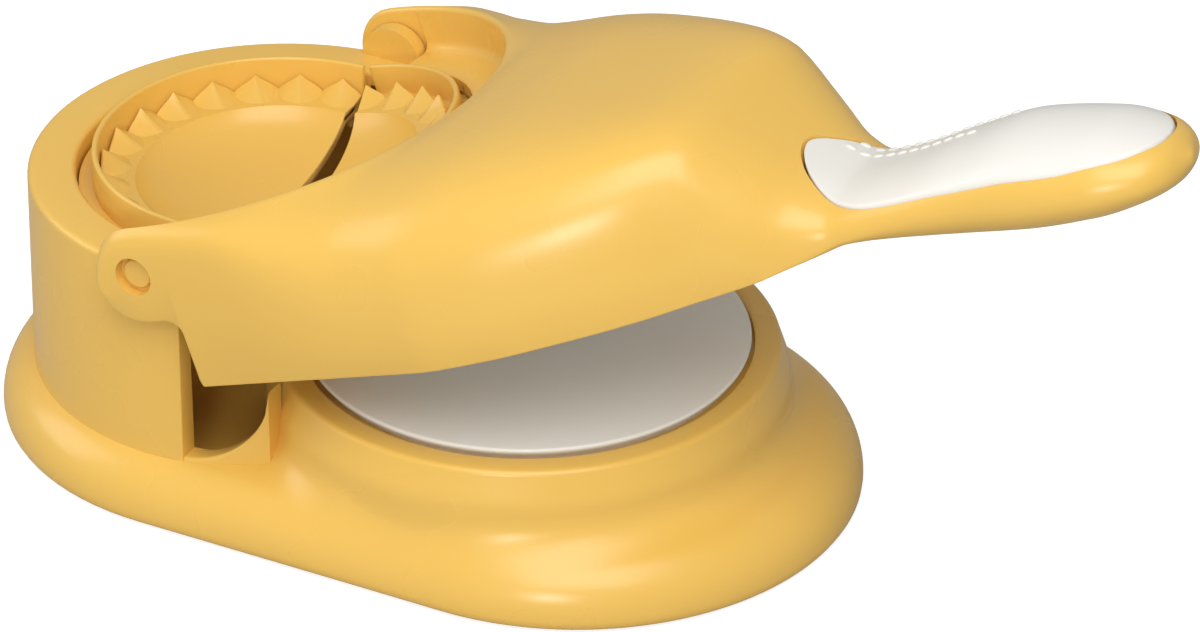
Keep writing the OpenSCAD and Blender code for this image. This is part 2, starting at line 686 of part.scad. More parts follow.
module arm_plate() rotate([90, 0, 0]) linear_extrude(height = arm_t) difference() {
    union() {
        translate([0, arm_mid]) circle(r = arm_r);
        translate([0, arm_low]) square([skirt_start + 2, crown - arm_low]);
        translate([skirt_start - arm_fillet, arm_low - arm_fillet]) square([arm_fillet + 2, arm_fillet + 1]);
    }
    translate([skirt_start - arm_fillet, arm_low - arm_fillet]) circle(r = arm_fillet);
    translate([skirt_start - 2 * arm_fillet, arm_low - 2 * arm_fillet]) square([arm_fillet, 2 * arm_fillet]);
}

// Floor and wall of the pocket that closes over the tower
module pocket() intersection() {
    rotate_extrude() polygon(concat(
        [[mouth_r, floor_bot], [pocket_r + shell_t, floor_bot], [pocket_r + 4.6, 5],
         [pocket_r + 1.5, crown - 0.6], [pocket_r + 0.7, crown], [pocket_r + 0.2, crown],
         [pocket_r, crown - 0.2]],
        [for (a = [0 : 22.5 : 90])
            [pocket_r - pocket_fillet * (1 - cos(a)), floor_top + pocket_fillet * (1 - sin(a))]],
        [[mouth_r, floor_top]]));
    translate([floor_start, -lever_half + 0.4, -far]) cube([far, 2 * lever_half - 0.8, 2 * far]);
}

// A block over the inlay's seat, up to far above the handle
module inlay_space(grow, lift) intersection() {
    translate([0, 0, skirt_z]) linear_extrude(height = 40) inlay_outline(grow);
    translate([0, far / 2, lift]) rotate([90, 0, 0]) linear_extrude(height = far)
        polygon(concat(seat, [[214, 30], [124, 30]]));
}

module at_inlay_screws() for (x = inlay_screw_x) translate([x, 0, 0]) children();

handle_floor = [for (x = inlay_screw_x) station(stations, x, 4)];

module handle_hollow() difference() {
    translate([139 + handle_slot, 0, handle_hollow_z]) linear_extrude(height = 9)
        stadium(handle_slot, 61 - 2 * handle_slot);
    at_inlay_screws() translate([0, 0, handle_hollow_z - 1])
        cylinder(r = inlay_boss_r, h = post_low - handle_hollow_z + 1);
}

module lever_shell() color(yellow) in_lever() difference() {
    union() {
        difference() {
            lever_body();
            translate([0, 0, floor_bot]) cylinder(r = pocket_r + 0.8, h = far);
        }
        pocket();
        translate([0, -arm_in, 0]) arm_plate();
        translate([0, arm_in + arm_t, 0]) arm_plate();
        for (p = carrier_screw_spots, side = [-1, 1]) {
            top = norm(p) < pocket_r ? floor_bot + 1
                : dome_z(p[0] + carrier_boss_r, p[1] + carrier_boss_r) - 1;
            translate([p[0], side * p[1], carrier_top]) cylinder(r = carrier_boss_r, h = top - carrier_top);
        }
        for (a = mould_screws) rotate(a) translate([front_screw_r, 0, -groove_d])
            cylinder(r = head_r, h = groove_d + floor_bot + 1);
    }
    // pin bores with a recess over each pin
    both_sides() translate([0, arm_in - 1, 0]) rotate([-90, 0, 0]) {
        cylinder(r = pin_r + pin_clear, h = arm_t + 2);
        translate([0, 0, arm_t + 1 - pin_recess]) cylinder(r = recess_r, h = far);
    }
    for (p = carrier_screw_spots, side = [-1, 1]) translate([p[0], side * p[1], carrier_top - 1])
        cylinder(r = screw_r + hole_clear, h = 9);
    for (a = mould_screws) rotate(a) translate([front_screw_r, 0, -groove_d - 1])
        cylinder(r = screw_r + hole_clear, h = groove_d + floor_top + 0.3);
    // seat of the inlay and the hollow below it
    inlay_space(inlay_gap, 0);
    handle_hollow();
    for (k = [0 : 1]) translate([inlay_screw_x[k], 0, handle_floor[k] - 1]) {
        cylinder(r = screw_r + pass_clear, h = 20);
        cylinder(r = head_r + pass_clear, h = head_h + 1.1);
    }
}

module plate_carrier() color(yellow) in_lever() difference() {
    xs = concat([skirt_start + 1], [for (s = stations) if (s[0] > 10 && s[0] < carrier_end) s[0]],
                [carrier_end]);
    side = [for (x = xs) [x, station(stations, x, 1) - shell_t - carrier_gap]];
    union() {
        translate([0, 0, upper_top]) linear_extrude(height = carrier_t)
            polygon(concat(side, [for (k = [len(xs) - 1 : -1 : 0]) [side[k][0], -side[k][1]]]));
        for (y = [-carrier_rib_y, carrier_rib_y])
            translate([carrier_ribs[0], y - rib_t / 2, carrier_top - eps])
            cube([carrier_ribs[1] - carrier_ribs[0], rib_t, rib_high]);
        for (x = cross_ribs) translate([x - rib_t / 2, -carrier_rib_y, carrier_top - eps])
            cube([rib_t, 2 * carrier_rib_y, rib_low]);
    }
    translate([0, 0, -far]) at_spigots(press_x) cylinder(r = spigot_r + seat_clear, h = far);
    for (p = carrier_screw_spots, s = [-1, 1]) translate([p[0], s * p[1], -far])
        cylinder(r = screw_r + pass_clear, h = far);
}

module carrier_screws() color(steel) in_lever()
    for (p = carrier_screw_spots, s = [-1, 1]) translate([p[0], s * p[1], upper_top])
        screw(carrier_t + 7);

// The inlay is a hollow cap, flush with the handle, with a post for each screw
module handle_inlay() color(white) in_lever() difference() {
    union() {
        difference() {
            intersection() {
                through([for (x = handle_x) section(x)]);
                inlay_space(0, 0.1);
            }
            translate([0, inlay_half / 2, 0]) rotate([90, 0, 0]) linear_extrude(height = inlay_half)
                polygon(concat([[141, -30]], [for (x = [141 : 6 : 201]) [x, dome_z(x, 0) - inlay_t - 0.8]],
                               [[201, -30]]));
        }
        at_inlay_screws() translate([0, 0, post_low])
            cylinder(r = inlay_boss_r - 0.2, h = screw_tip + 1.2 - post_low);
        translate([inlay_screw_x[1], 0, post_low])
            cylinder(r = inlay_boss_r - 0.2, h = dome_z(inlay_screw_x[1], 0) - post_skin - post_low);
    }
    at_inlay_screws() translate([0, 0, post_low - 1])
        cylinder(r = screw_r + hole_clear, h = screw_tip + 1.2 - post_low);
}

module inlay_screws() color(steel) in_lever() for (k = [0 : 1])
    translate([inlay_screw_x[k], 0, handle_floor[k] + head_h + 0.1])
        screw(screw_tip - handle_floor[k] - head_h - 0.1);

// ---------------------------------------------------------------- assembly

base_shell();
bottom_cover();
rubber_foot(1);  // rubber_foot_1
rubber_foot(2);  // rubber_foot_2
rubber_foot(3);  // rubber_foot_3
rubber_foot(4);  // rubber_foot_4
cover_screws();
lower_plate();
lower_plate_screws();
rear_mould();
rear_mould_screws();
pivot_pin_near();
pivot_pin_far();
lever_shell();
plate_carrier();
carrier_screws();
upper_plate();
upper_plate_screws();
front_mould();
front_mould_screws();
handle_inlay();
inlay_screws();
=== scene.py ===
import json
import math

import bmesh
import bpy
from mathutils import Matrix, Vector


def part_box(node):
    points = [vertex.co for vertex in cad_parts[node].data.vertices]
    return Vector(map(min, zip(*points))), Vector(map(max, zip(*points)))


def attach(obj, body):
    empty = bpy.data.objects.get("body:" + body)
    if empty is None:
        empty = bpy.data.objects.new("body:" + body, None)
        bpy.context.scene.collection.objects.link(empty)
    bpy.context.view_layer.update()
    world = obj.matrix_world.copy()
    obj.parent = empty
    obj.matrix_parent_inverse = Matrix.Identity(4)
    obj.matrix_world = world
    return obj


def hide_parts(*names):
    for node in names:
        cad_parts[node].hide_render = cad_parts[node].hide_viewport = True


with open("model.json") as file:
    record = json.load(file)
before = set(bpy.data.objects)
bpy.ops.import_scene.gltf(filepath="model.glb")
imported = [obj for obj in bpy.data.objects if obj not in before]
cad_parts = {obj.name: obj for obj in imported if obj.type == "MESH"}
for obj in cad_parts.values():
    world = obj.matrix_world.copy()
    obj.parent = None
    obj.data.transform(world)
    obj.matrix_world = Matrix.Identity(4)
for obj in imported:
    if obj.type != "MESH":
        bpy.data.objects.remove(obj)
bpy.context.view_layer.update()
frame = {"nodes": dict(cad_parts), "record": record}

bl_info = {
    "name": "Dumpling press",
    "version": (1, 0, 0),
    "blender": (4, 5, 0),
    "location": "3D View > Sidebar > Press",
    "description": "Moulded surfaces, finishes and studio for the hinged dumpling press",
    "category": "Object",
}

# ------------------------------------------------------------------ sizes, in millimetres

MM = 0.001
FOOT_R = 60.4                   # round ends of the foot
FOOT_LEN = 72.5                 # from the tower's axis to the front end's centre
FOOT_TOP = 14.9
FOOT_LOW = 1.0                  # underside of the foot
COVER_RECESS = 55.1             # round ends of the recess for the bottom cover
COVER_TOP = 4.0
PAD_X = 60.7                    # the pad's axis
PAD_R = 55.4
PAD_TAPER = 23.9                # from here up the pad's wall leans in
WALL_TOP = 29.9
RING_R = 53.0                   # raised ring round the plate
RING_TOP = 31.3
RING_ROUND = 1.4
SEAT_R = 47.6                   # recess of the lower plate
DECK_Z = 29.5
TOWER_R = 52.5
TOWER_DRAFT = 0.8
TOWER_TOP = 58.7
TOWER_IN = 48.4
TOWER_FRONT = 7.3               # the tower's wall ends here
FRONT_ROUND = 1.0
RIM_OUT = 1.5                   # roundings of the tower's rim, outside and in the bore
RIM_IN = 1.2
RIM_T = 3.0
RIM_FILLET = 2.0
BORE_R = 42.2
WELL_FLOOR = 8.0
IN_FOOT = 5.0                   # walls start here, inside the foot
SEAT_LOW = 49.6                 # underside of the rear mould's seat
SEAT_X = -1.0
COLLAR_T = 2.5
LEDGE_T = 2.6
LEDGE_WIDE = 9.0
STEP_IN = 0.1                   # keeps faces that lie in one another apart
WEB_TOP = 32.5
WEB_SCOOP = 17.6
WEB_ROOT = 2.5                  # how far a web reaches into the tower's wall
WEB_LOW = 6.0
WEB_ROUND = 0.9
PIVOT_X = 0.2
PIVOT_Z = 59.1
BOSS_R = 7.1
BOSS_IN = 49.2
BOSS_OUT = 53.3
BOSS_ROUND = 0.8
PIN_SEAT = 1.0                  # bottom of the pin's bore in a boss
TILT = math.radians(19.2)       # the lever at rest, above its closed place

LEVER_HALF = 57.4
ARM_IN = 53.7                   # inner faces of the arms, and wall of the pocket
ARM_MID = -0.35                 # centre and radius of the arms' round ends
ARM_R = 10.15
ARM_LOW = -10.5
ARM_FILLET = 4.0
SKIRT_X = 7.6
SKIRT_Z = -26.0
SKIRT_CORNER = 0.7              # rounding of the skirt's lower edge
SHELL = 3.0
LIP_Z = 9.75                    # top of the lip round the pocket
LIP_ROUND = 1.0
LIP_R = ARM_IN + LIP_ROUND
LIP_BLEND = 7.0                 # how far the lip's rim runs out into the dome
WALL_MID = 5.0                  # a height half-way down the pocket's wall
FLOOR_X = 8.0                   # rear edge of the pocket's floor
FLOOR_TOP = -0.3
FLOOR_LOW = -3.3
FLOOR_FILLET = 2.2
MOUTH_R = 43.4
MOUTH_EDGE = 0.5
POCKET_OUT = 56.9
HOLLOW_END = 126.0
TIP_X = 212.6
PIN_R = 3.3
PIN_RECESS_R = 4.2

BOWL_WALL = 2.0
TEETH_R = 37.4
TEETH_IN = 2.0                  # the teeth start this far inside the bowl's edge
TEETH_STEP = 15                 # degrees from tooth to tooth
RIDGE_ROUND = 0.035
BRIM_DROP = 0.5
GROOVE_D = 4.3
MOULD_PLATE = 2.6
FOLD_GAP = 0.5
FOLD_ROUND = 0.3
FLANGE_SINK = 0.02
REAR_WALL = (37.7, 38.9)
REAR_LIP = 3.4
REAR_FLANGE = 41.9
FRONT_WALL = (40.0, 41.2)
FRONT_LIP = 2.4
FRONT_FLANGE = 47.8
FRONT_FLANGE_X = 9.0

INLAY_START = 129.2
INLAY_END = 209.0
INLAY_NOSE = 22.0               # lengths over which the inlay narrows to its ends
INLAY_TAIL = 34.0
INLAY_SLIM = 1.2                # narrower by this towards the neck
INLAY_NECK = (150.0, 175.0)
INLAY_GAP = 0.35
INLAY_LOW = -17.0               # lowest underside of the inlay
# The inlay's rounded edge: distance in from its outline, and drop below the handle's crown
INLAY_EDGE = [(0.0, -0.75), (0.12, -0.4), (0.35, -0.12), (0.7, 0.0)]
# Its seat in the handle is a little deeper, and much deeper where the dome's end stands over it
SEAT_DEPTH = 2.6
SEAT_FLOOR = -17.2
SEAT_STEEP = (136.0, 6.5)
# Rows of small raised ovals on the inlay: first place, last place, how many
OVAL_ROWS = [((136.0, 9.8), (173.2, 7.2), 13), ((134.6, 6.4), (165.6, 1.3), 11)]

# The lever's stations: distance from the pivot, half width, height of the crown, height of the
# widest line, height of the underside, and roundness of the section.
HALF, TOP, MIDDLE, UNDER, ROUNDNESS = 1, 2, 3, 4, 5
CROWN = 9.8
STATIONS = [
    (SKIRT_X, LEVER_HALF, CROWN, SKIRT_Z, SKIRT_Z, 18.0),
    (20, LEVER_HALF, CROWN, SKIRT_Z, SKIRT_Z, 14.0),
    (28, LEVER_HALF, CROWN, SKIRT_Z, SKIRT_Z, 8.5),
    (35, LEVER_HALF, CROWN, SKIRT_Z, SKIRT_Z, 5.7),
    (48, LEVER_HALF, CROWN + 0.3, SKIRT_Z, SKIRT_Z, 4.0),
    (60, LEVER_HALF, CROWN + 1.0, SKIRT_Z, SKIRT_Z, 3.8),
    (75, LEVER_HALF - 3.2, CROWN + 1.7, SKIRT_Z, SKIRT_Z, 3.8),
    (90, LEVER_HALF - 9.5, CROWN + 1.1, SKIRT_Z, SKIRT_Z, 4.0),
    (105, LEVER_HALF - 17.6, CROWN + 0.1, SKIRT_Z, SKIRT_Z, 4.2),
    (115, LEVER_HALF - 24.8, CROWN - 2.1, SKIRT_Z, SKIRT_Z, 4.6),
    (124, 27.4, -0.8, -25.1, -25.6, 3.4),
    (132, 21.4, -10.0, -23.7, -25.0, 2.8),
    (140, 17.6, -13.8, -22.2, -24.5, 2.4),
    (150, 17.0, -12.6, -20.4, -25.2, 2.2),
    (165, 17.2, -9.0, -18.6, -26.0, 2.1),
    (180, 17.8, -6.4, -17.9, -26.2, 2.1),
    (195, 16.8, -7.4, -17.7, -25.1, 2.1),
    (205, 13.4, -10.05, -17.7, -23.1, 2.1),
    (210, 8.4, -12.8, -17.5, -21.3, 2.1),
    (TIP_X, 0.8, -16.6, -17.3, -18.2, 2.0),
]
UNDER_ROUND = 2.3               # roundness of the handle's underside
UNDER_SQUARE = 10.0             # the same where the handle leaves the hollow dome
UNDER_BLEND = 14.0              # length over which the one runs into the other

TOWER_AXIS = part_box("base_shell")[0].x / MM + FOOT_R

IN_PLACE = Matrix.Scale(MM, 4) @ Matrix.Translation((TOWER_AXIS, 0, 0))
AT_PIVOT = IN_PLACE @ Matrix.Translation((PIVOT_X, 0, PIVOT_Z))
IN_LEVER = AT_PIVOT @ Matrix.Rotation(-TILT, 4, "Y")

# ------------------------------------------------------------------ stage, in metres

LOOK_AT = IN_PLACE @ Vector((74.97, 5.28, 37.59))
SENSOR_MM = 36.0
FLOOR_SIZE = 4.0
FLOOR_PAPER = "#BCBCBC"
FLOOR_GLOW = 0.8                # with the lamps' light on it the floor comes out white
LAMPS_AIM = Vector((0.0, 0.0, 0.05))
# Each lamp's place, and the side of its square
LAMPS = {"key": ((0.25, -0.45, 0.85), 0.7),
         "left": ((-0.85, -0.25, 0.45), 0.5),
         "front": ((0.25, -0.83, 0.3), 0.16)}


# ------------------------------------------------------------------ settings

def length_prop(name, description, millimetres):
    """Property for a length, with its default in millimetres."""
    return bpy.props.FloatProperty(name=name, description=description, default=millimetres * MM,
                                   min=0.0, precision=5, unit="LENGTH")


def colour_prop(name, description, value):
    """Property for a colour."""
    return bpy.props.StringProperty(name=name, description=description + ", sRGB hex", default=value)


def power_prop(name, description, watts):
    """Property for a lamp's power."""
    return bpy.props.FloatProperty(name=name, description=description, default=watts, min=0.0,
                                   unit="POWER")


class PressSizes(bpy.types.PropertyGroup):
    """Sizes that can be changed by themselves"""
    foot_edge: length_prop("Foot edge", "Radius of the foot's round edge", 12.0)
    pad_sweep: length_prop("Pad sweep", "Largest radius of the sweep from the foot up to the pad", 7.0)
    plate_radius: length_prop("Plate radius", "Radius of the lower press plate", 47.0)
    plate_top: length_prop("Plate top", "Height of the lower press plate's face", 32.8)
    bowl_radius: length_prop("Bowl radius", "Radius of the mould's bowl", 31.5)
    bowl_depth: length_prop("Bowl depth", "Depth of each half of the mould's bowl", 13.8)
    teeth_height: length_prop("Teeth height", "Height of the crimping teeth", 3.7)
    pin_recess: length_prop("Pin recess", "Depth of the recess over each hinge pin", 2.4)
    inlay_half: length_prop("Inlay half width", "Half the width of the handle's inlay", 15.8)
    inlay_thick: length_prop("Inlay thickness", "Thickness of the handle's inlay", 2.4)
    oval_long: length_prop("Oval length", "Half the length of a raised oval", 1.25)
    oval_wide: length_prop("Oval width", "Half the width of a raised oval", 0.75)
    oval_high: length_prop("Oval height", "Half the height of a raised oval", 0.42)


class PressFinish(bpy.types.PropertyGroup):
    """Colours and gloss"""
    yellow: colour_prop("Yellow", "Colour of the moulded body", "#EDC05D")
    yellow_tone: colour_prop("Yellow tone", "Second tone of the moulded body", "#EBBD58")
    white: colour_prop("White", "Colour of the plates and the inlay", "#ECEAE3")
    white_tone: colour_prop("White tone", "Second tone of the plates and the inlay", "#E9E6DE")
    steel: colour_prop("Steel", "Colour of the screws", "#B9BCC0")
    rubber: colour_prop("Rubber", "Colour of the feet", "#3A3A3C")
    roughness: bpy.props.FloatProperty(name="Roughness", description="Roughness of the moulded plastic",
                                       default=0.28, min=0.05, max=1.0, subtype="FACTOR")


class PressStage(bpy.types.PropertyGroup):
    """Camera and light"""
    azimuth: bpy.props.FloatProperty(name="Azimuth", description="Camera's direction round the press",
                                     default=math.radians(27.75), subtype="ANGLE")
    elevation: bpy.props.FloatProperty(name="Elevation", description="Camera's height as an angle",
                                       default=math.radians(30.82), subtype="ANGLE")
    distance: bpy.props.FloatProperty(name="Distance", description="From the camera to what it looks at",
                                      default=1.1679, unit="LENGTH")
    lens: bpy.props.FloatProperty(name="Lens", description="Focal length in millimetres",
                                  default=167.43, min=10.0)
    key: power_prop("Key light", "Power of the main soft light", 6.0)
    left: power_prop("Left light", "Power of the light on the tower's side", 1.7)
    front: power_prop("Front light", "Power of the small light on the near side", 1.5)
    sky: bpy.props.FloatProperty(name="Sky", description="Strength of the even light from all round",
                                 default=0.40, min=0.0)


def size(name):
    """One of the settable sizes, in millimetres."""
    return round(getattr(bpy.context.scene.press_sizes, name) / MM, 3)


# ------------------------------------------------------------------ curves

def lerp(a, b, t):
    """Value between a (t = 0) and b (t = 1)."""
    return a + (b - a) * t


def spread(low, high, count):
    """count + 1 values from low to high."""
    return [lerp(low, high, k / count) for k in range(count + 1)]


def station(x, column):
    """Smooth value between the lever's stations."""
    last = len(STATIONS) - 1
    i = max([k for k in range(last) if x >= STATIONS[k][0] - 1e-6] or [0])

    def secant(k):
        return ((STATIONS[k + 1][column] - STATIONS[k][column])
                / (STATIONS[k + 1][0] - STATIONS[k][0]))

    def slope(k):
        left = secant(0) if k == 0 else secant(k - 1)
        right = secant(last - 1) if k == last else secant(k)
        return 0.0 if left * right <= 0 else 2 * left * right / (left + right)

    step = STATIONS[i + 1][0] - STATIONS[i][0]
    t = min(1.0, max(0.0, (x - STATIONS[i][0]) / step))
    a = slope(i) * step
    b = slope(i + 1) * step
    return ((2 * t**3 - 3 * t**2 + 1) * STATIONS[i][column] + (t**3 - 2 * t**2 + t) * a
            + (3 * t**2 - 2 * t**3) * STATIONS[i + 1][column] + (t**3 - t**2) * b)


def dome_z(x, y):
    """Height of the lever's outside over a point, before the lip's rim."""
    share = min(1.0, abs(y) / max(0.01, station(x, HALF)))
    roundness = station(x, ROUNDNESS)
    middle = station(x, MIDDLE)
    return middle + (station(x, TOP) - middle) * (1 - share**roundness) ** (1 / roundness)


def inlay_width(x):
    """Half the inlay's width at x: a blunt nose, a slimmer neck and a round tail."""
    nose = min(1.0, max(0.0, INLAY_START + INLAY_NOSE - x) / INLAY_NOSE)
    tail = min(1.0, max(0.0, x - INLAY_END + INLAY_TAIL) / INLAY_TAIL)
    near_neck = min(1.0, max(0.0, (INLAY_NECK[1] - x) / (INLAY_NECK[1] - INLAY_NECK[0])))
    return ((size("inlay_half") - INLAY_SLIM * near_neck)
            * math.sqrt(max(0.0, 1 - nose**2.2)) * math.sqrt(max(0.0, 1 - tail**3)))


def arc(centre, radius, start, end, count):
    """Points of an arc in a profile, angles in degrees."""
    return [(centre[0] + radius * math.cos(math.radians(a)),
             centre[1] + radius * math.sin(math.radians(a)))
            for a in spread(start, end, count)]


# ------------------------------------------------------------------ mesh helpers

MERGE = 0.002                   # points closer than this are one


def lofted(sections, closed=True, dropped=None):
    """A skin through sections of equally many points. Faces that dropped names are left out."""
    points = len(sections[0])
    rows = len(sections)
    columns = points + 1 if closed else points
    bm = bmesh.new()
    bmesh.ops.create_grid(bm, x_segments=columns - 1, y_segments=rows - 1, size=0.5)
    spot = {}
    for v in bm.verts:
        column = round((v.co.x + 0.5) * (columns - 1))
        row = round((v.co.y + 0.5) * (rows - 1))
        spot[v] = (row, column)
    if dropped:
        out = [f for f in bm.faces
               if dropped(min(spot[v][0] for v in f.verts), min(spot[v][1] for v in f.verts))]
        bmesh.ops.delete(bm, geom=out, context="FACES")
    for v in bm.verts:
        row, column = spot[v]
        v.co = sections[row][column % points]
    return bm


def close_up(bm):
    """Merges doubles, drops faces without an area and turns all normals outwards."""
    bmesh.ops.remove_doubles(bm, verts=bm.verts, dist=MERGE)
    bmesh.ops.dissolve_degenerate(bm, edges=bm.edges, dist=MERGE / 2)
    bmesh.ops.recalc_face_normals(bm, faces=bm.faces)
    return bm


def with_ends(bm):
    """Closes both ends of a loft."""
    bmesh.ops.remove_doubles(bm, verts=bm.verts, dist=MERGE)
    bmesh.ops.holes_fill(bm, edges=[e for e in bm.edges if e.is_boundary], sides=0)
    return close_up(bm)


def spun(profile, steps=144):
    """Turns a closed profile of (radius, height) once round the Z axis."""
    bm = bmesh.new()
    verts = [bm.verts.new((r, 0, z)) for r, z in profile]
    edges = [bm.edges.new((verts[k], verts[(k + 1) % len(verts)])) for k in range(len(verts))]
    off_axis = [e for e in edges if any(abs(v.co.x) >= 1e-6 for v in e.verts)]
    bmesh.ops.spin(bm, geom=off_axis, cent=(0, 0, 0), axis=(0, 0, 1), angle=math.tau,
                   steps=steps, use_merge=True)
    loose = [e for e in bm.edges if not e.link_faces]
    bmesh.ops.delete(bm, geom=loose, context="EDGES")
    return close_up(bm)


def cut(bm, point, normal, rounded=0.0, segments=3):
    """Cuts away what lies ahead of a plane, closes the cut and rounds its edges."""
    geom = list(bm.verts) + list(bm.edges) + list(bm.faces)
    found = bmesh.ops.bisect_plane(bm, geom=geom, dist=1e-5, plane_co=point, plane_no=normal,
                                   clear_outer=True)
    rim = [e for e in found["geom_cut"] if isinstance(e, bmesh.types.BMEdge)]
    filled = bmesh.ops.holes_fill(bm, edges=[e for e in rim if e.is_boundary], sides=0)
    bmesh.ops.recalc_face_normals(bm, faces=bm.faces)
    if rounded:
        edges = {e for f in filled["faces"] for e in f.edges}
        bmesh.ops.bevel(bm, geom=list(edges), offset=rounded, offset_type="OFFSET", affect="EDGES",
                        segments=segments, profile=0.5, material=-1, clamp_overlap=True)
    return bm


def joined(parts):
    """One mesh from several, which are used up."""
    whole = bmesh.new()
    for part in parts:
        mesh = bpy.data.meshes.new("part")
        part.to_mesh(mesh)
        part.free()
        whole.from_mesh(mesh)
        bpy.data.meshes.remove(mesh)
    return whole


def moved(bm, matrix):
    """The mesh itself, put in another place."""
    bmesh.ops.transform(bm, matrix=matrix, verts=bm.verts)
    return bm


def piece(name, bm, matrix, body, slot, replaced, sharp=38.0):
    """Turns a mesh in millimetres into a finished object: smooth, in place, and riding on its body."""
    bmesh.ops.transform(bm, matrix=matrix, verts=bm.verts)
    mesh = bpy.data.meshes.new(name)
    bm.to_mesh(mesh)
    bm.free()
    mesh.shade_smooth()
    mesh.set_sharp_from_angle(angle=math.radians(sharp))
    obj = bpy.data.objects.new(name, mesh)
    bpy.context.scene.collection.objects.link(obj)
    mesh.materials.append(finish(slot))
    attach(obj, body)
    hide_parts(*replaced)


def carved(bm, cutters):
    """The mesh without what its cutters fill. Cutters are used up."""
    def holder(name, source):
        mesh = bpy.data.meshes.new(name)
        source.to_mesh(mesh)
        source.free()
        obj = bpy.data.objects.new(name, mesh)
        bpy.context.scene.collection.objects.link(obj)
        return obj

    target = holder("carving", bm)
    tools = [holder("cutter", c) for c in cutters]
    for tool in tools:
        step = target.modifiers.new("cut", "BOOLEAN")
        step.operation = "DIFFERENCE"
        step.solver = "EXACT"
        step.object = tool
    bpy.context.view_layer.update()
    graph = bpy.context.evaluated_depsgraph_get()
    result = bmesh.new()
    shaped = target.evaluated_get(graph)
    result.from_mesh(shaped.to_mesh())
    shaped.to_mesh_clear()
    for obj in [target] + tools:
        mesh = obj.data
        bpy.data.objects.remove(obj)
        bpy.data.meshes.remove(mesh)
    if not result.faces:
        raise RuntimeError("nothing is left of a moulding after its cuts")
    return result


def rod(radius, low, high, matrix=Matrix.Identity(4), steps=96):
    """A plain closed cylinder along Z, for cutting."""
    bm = bmesh.new()
    bmesh.ops.create_cone(bm, cap_ends=True, segments=steps, radius1=radius, radius2=radius,
                          depth=high - low, matrix=matrix @ Matrix.Translation((0, 0, (low + high) / 2)))
    return bm


# ------------------------------------------------------------------ materials

def linear(hex_colour):
    """Linear colour from an sRGB hex value."""
    parts = [int(hex_colour[k:k + 2], 16) / 255 for k in (1, 3, 5)]
    return [c / 12.92 if c <= 0.04045 else ((c + 0.055) / 1.055) ** 2.4 for c in parts] + [1.0]


def add_node(tree, kind, settings=None, inputs=None, links=None):
    """Adds a node with its settings, socket values and incoming links."""
    node = tree.nodes.new(kind)
    for key, value in (settings or {}).items():
        setattr(node, key, value)
    for key, value in (inputs or {}).items():
        node.inputs[key].default_value = value
    for key, source in (links or {}).items():
        tree.links.new(source, node.inputs[key])
    return node


def new_material(name):
    """An empty material and its node tree."""
    material = bpy.data.materials.new(name)
    material.use_nodes = True
    tree = material.node_tree
    tree.nodes.clear()
    return material, tree


def noise(tree, grain_mm, detail):
    """Noise with grains of a real size, fixed to the piece."""
    place = add_node(tree, "ShaderNodeTexCoord")
    return add_node(tree, "ShaderNodeTexNoise", inputs={"Scale": 1 / (grain_mm * MM), "Detail": detail},
                    links={"Vector": place.outputs["Object"]}).outputs["Fac"]


# Grains in millimetres. The skins of plastic and rubber and the scratches of the steel are finer
# on the real press, and are drawn this coarse so that they show.
FLOW_GRAIN = 35.0
ABS_GRAIN = 0.9
PP_GRAIN = 0.8
SKIN_DEPTH = 0.02
SCRATCH_GRAIN = 0.5
RUBBER_GRAIN = 0.6
RUBBER_DEPTH = 0.05


def moulded_plastic(name, colour, tone, roughness, grain_mm):
    """Injection-moulded plastic: an even colour with a faint flow tone, a soft gloss that the
    tool's polish varies a little, and a very fine skin texture."""
    material, tree = new_material(name)
    flow = noise(tree, FLOW_GRAIN, 2.0)
    skin = noise(tree, grain_mm, 3.0)
    base = add_node(tree, "ShaderNodeMix", {"data_type": "RGBA"},
                    inputs={6: linear(colour), 7: linear(tone)}, links={0: flow})
    gloss = add_node(tree, "ShaderNodeMapRange", {"interpolation_type": "SMOOTHSTEP"},
                     inputs={"From Min": 0.2, "From Max": 0.8, "To Min": roughness - 0.03,
                             "To Max": roughness + 0.04},
                     links={"Value": flow})
    bump = add_node(tree, "ShaderNodeBump", inputs={"Strength": 0.25, "Distance": SKIN_DEPTH * MM},
                    links={"Height": skin})
    shader = add_node(tree, "ShaderNodeBsdfPrincipled", inputs={"IOR": 1.5},
                      links={"Base Color": base.outputs[2], "Roughness": gloss.outputs["Result"],
                             "Normal": bump.outputs["Normal"]})
    add_node(tree, "ShaderNodeOutputMaterial", links={"Surface": shader.outputs[0]})
    return material


def turned_steel(name, colour):
    """Zinc-plated steel of small screws: bright, with fine scratches that spread the gloss."""
    material, tree = new_material(name)
    gloss = add_node(tree, "ShaderNodeMapRange", inputs={"To Min": 0.25, "To Max": 0.42},
                     links={"Value": noise(tree, SCRATCH_GRAIN, 4.0)})
    shader = add_node(tree, "ShaderNodeBsdfPrincipled",
                      inputs={"Base Color": linear(colour), "Metallic": 1.0},
                      links={"Roughness": gloss.outputs["Result"]})
    add_node(tree, "ShaderNodeOutputMaterial", links={"Surface": shader.outputs[0]})
    return material


def moulded_rubber(name, colour):
    """Moulded rubber feet: dark and matt, with a coarse skin."""
    material, tree = new_material(name)
    bump = add_node(tree, "ShaderNodeBump", inputs={"Strength": 0.4, "Distance": RUBBER_DEPTH * MM},
                    links={"Height": noise(tree, RUBBER_GRAIN, 3.0)})
    shader = add_node(tree, "ShaderNodeBsdfPrincipled",
                      inputs={"Base Color": linear(colour), "Roughness": 0.75},
                      links={"Normal": bump.outputs["Normal"]})
    add_node(tree, "ShaderNodeOutputMaterial", links={"Surface": shader.outputs[0]})
    return material


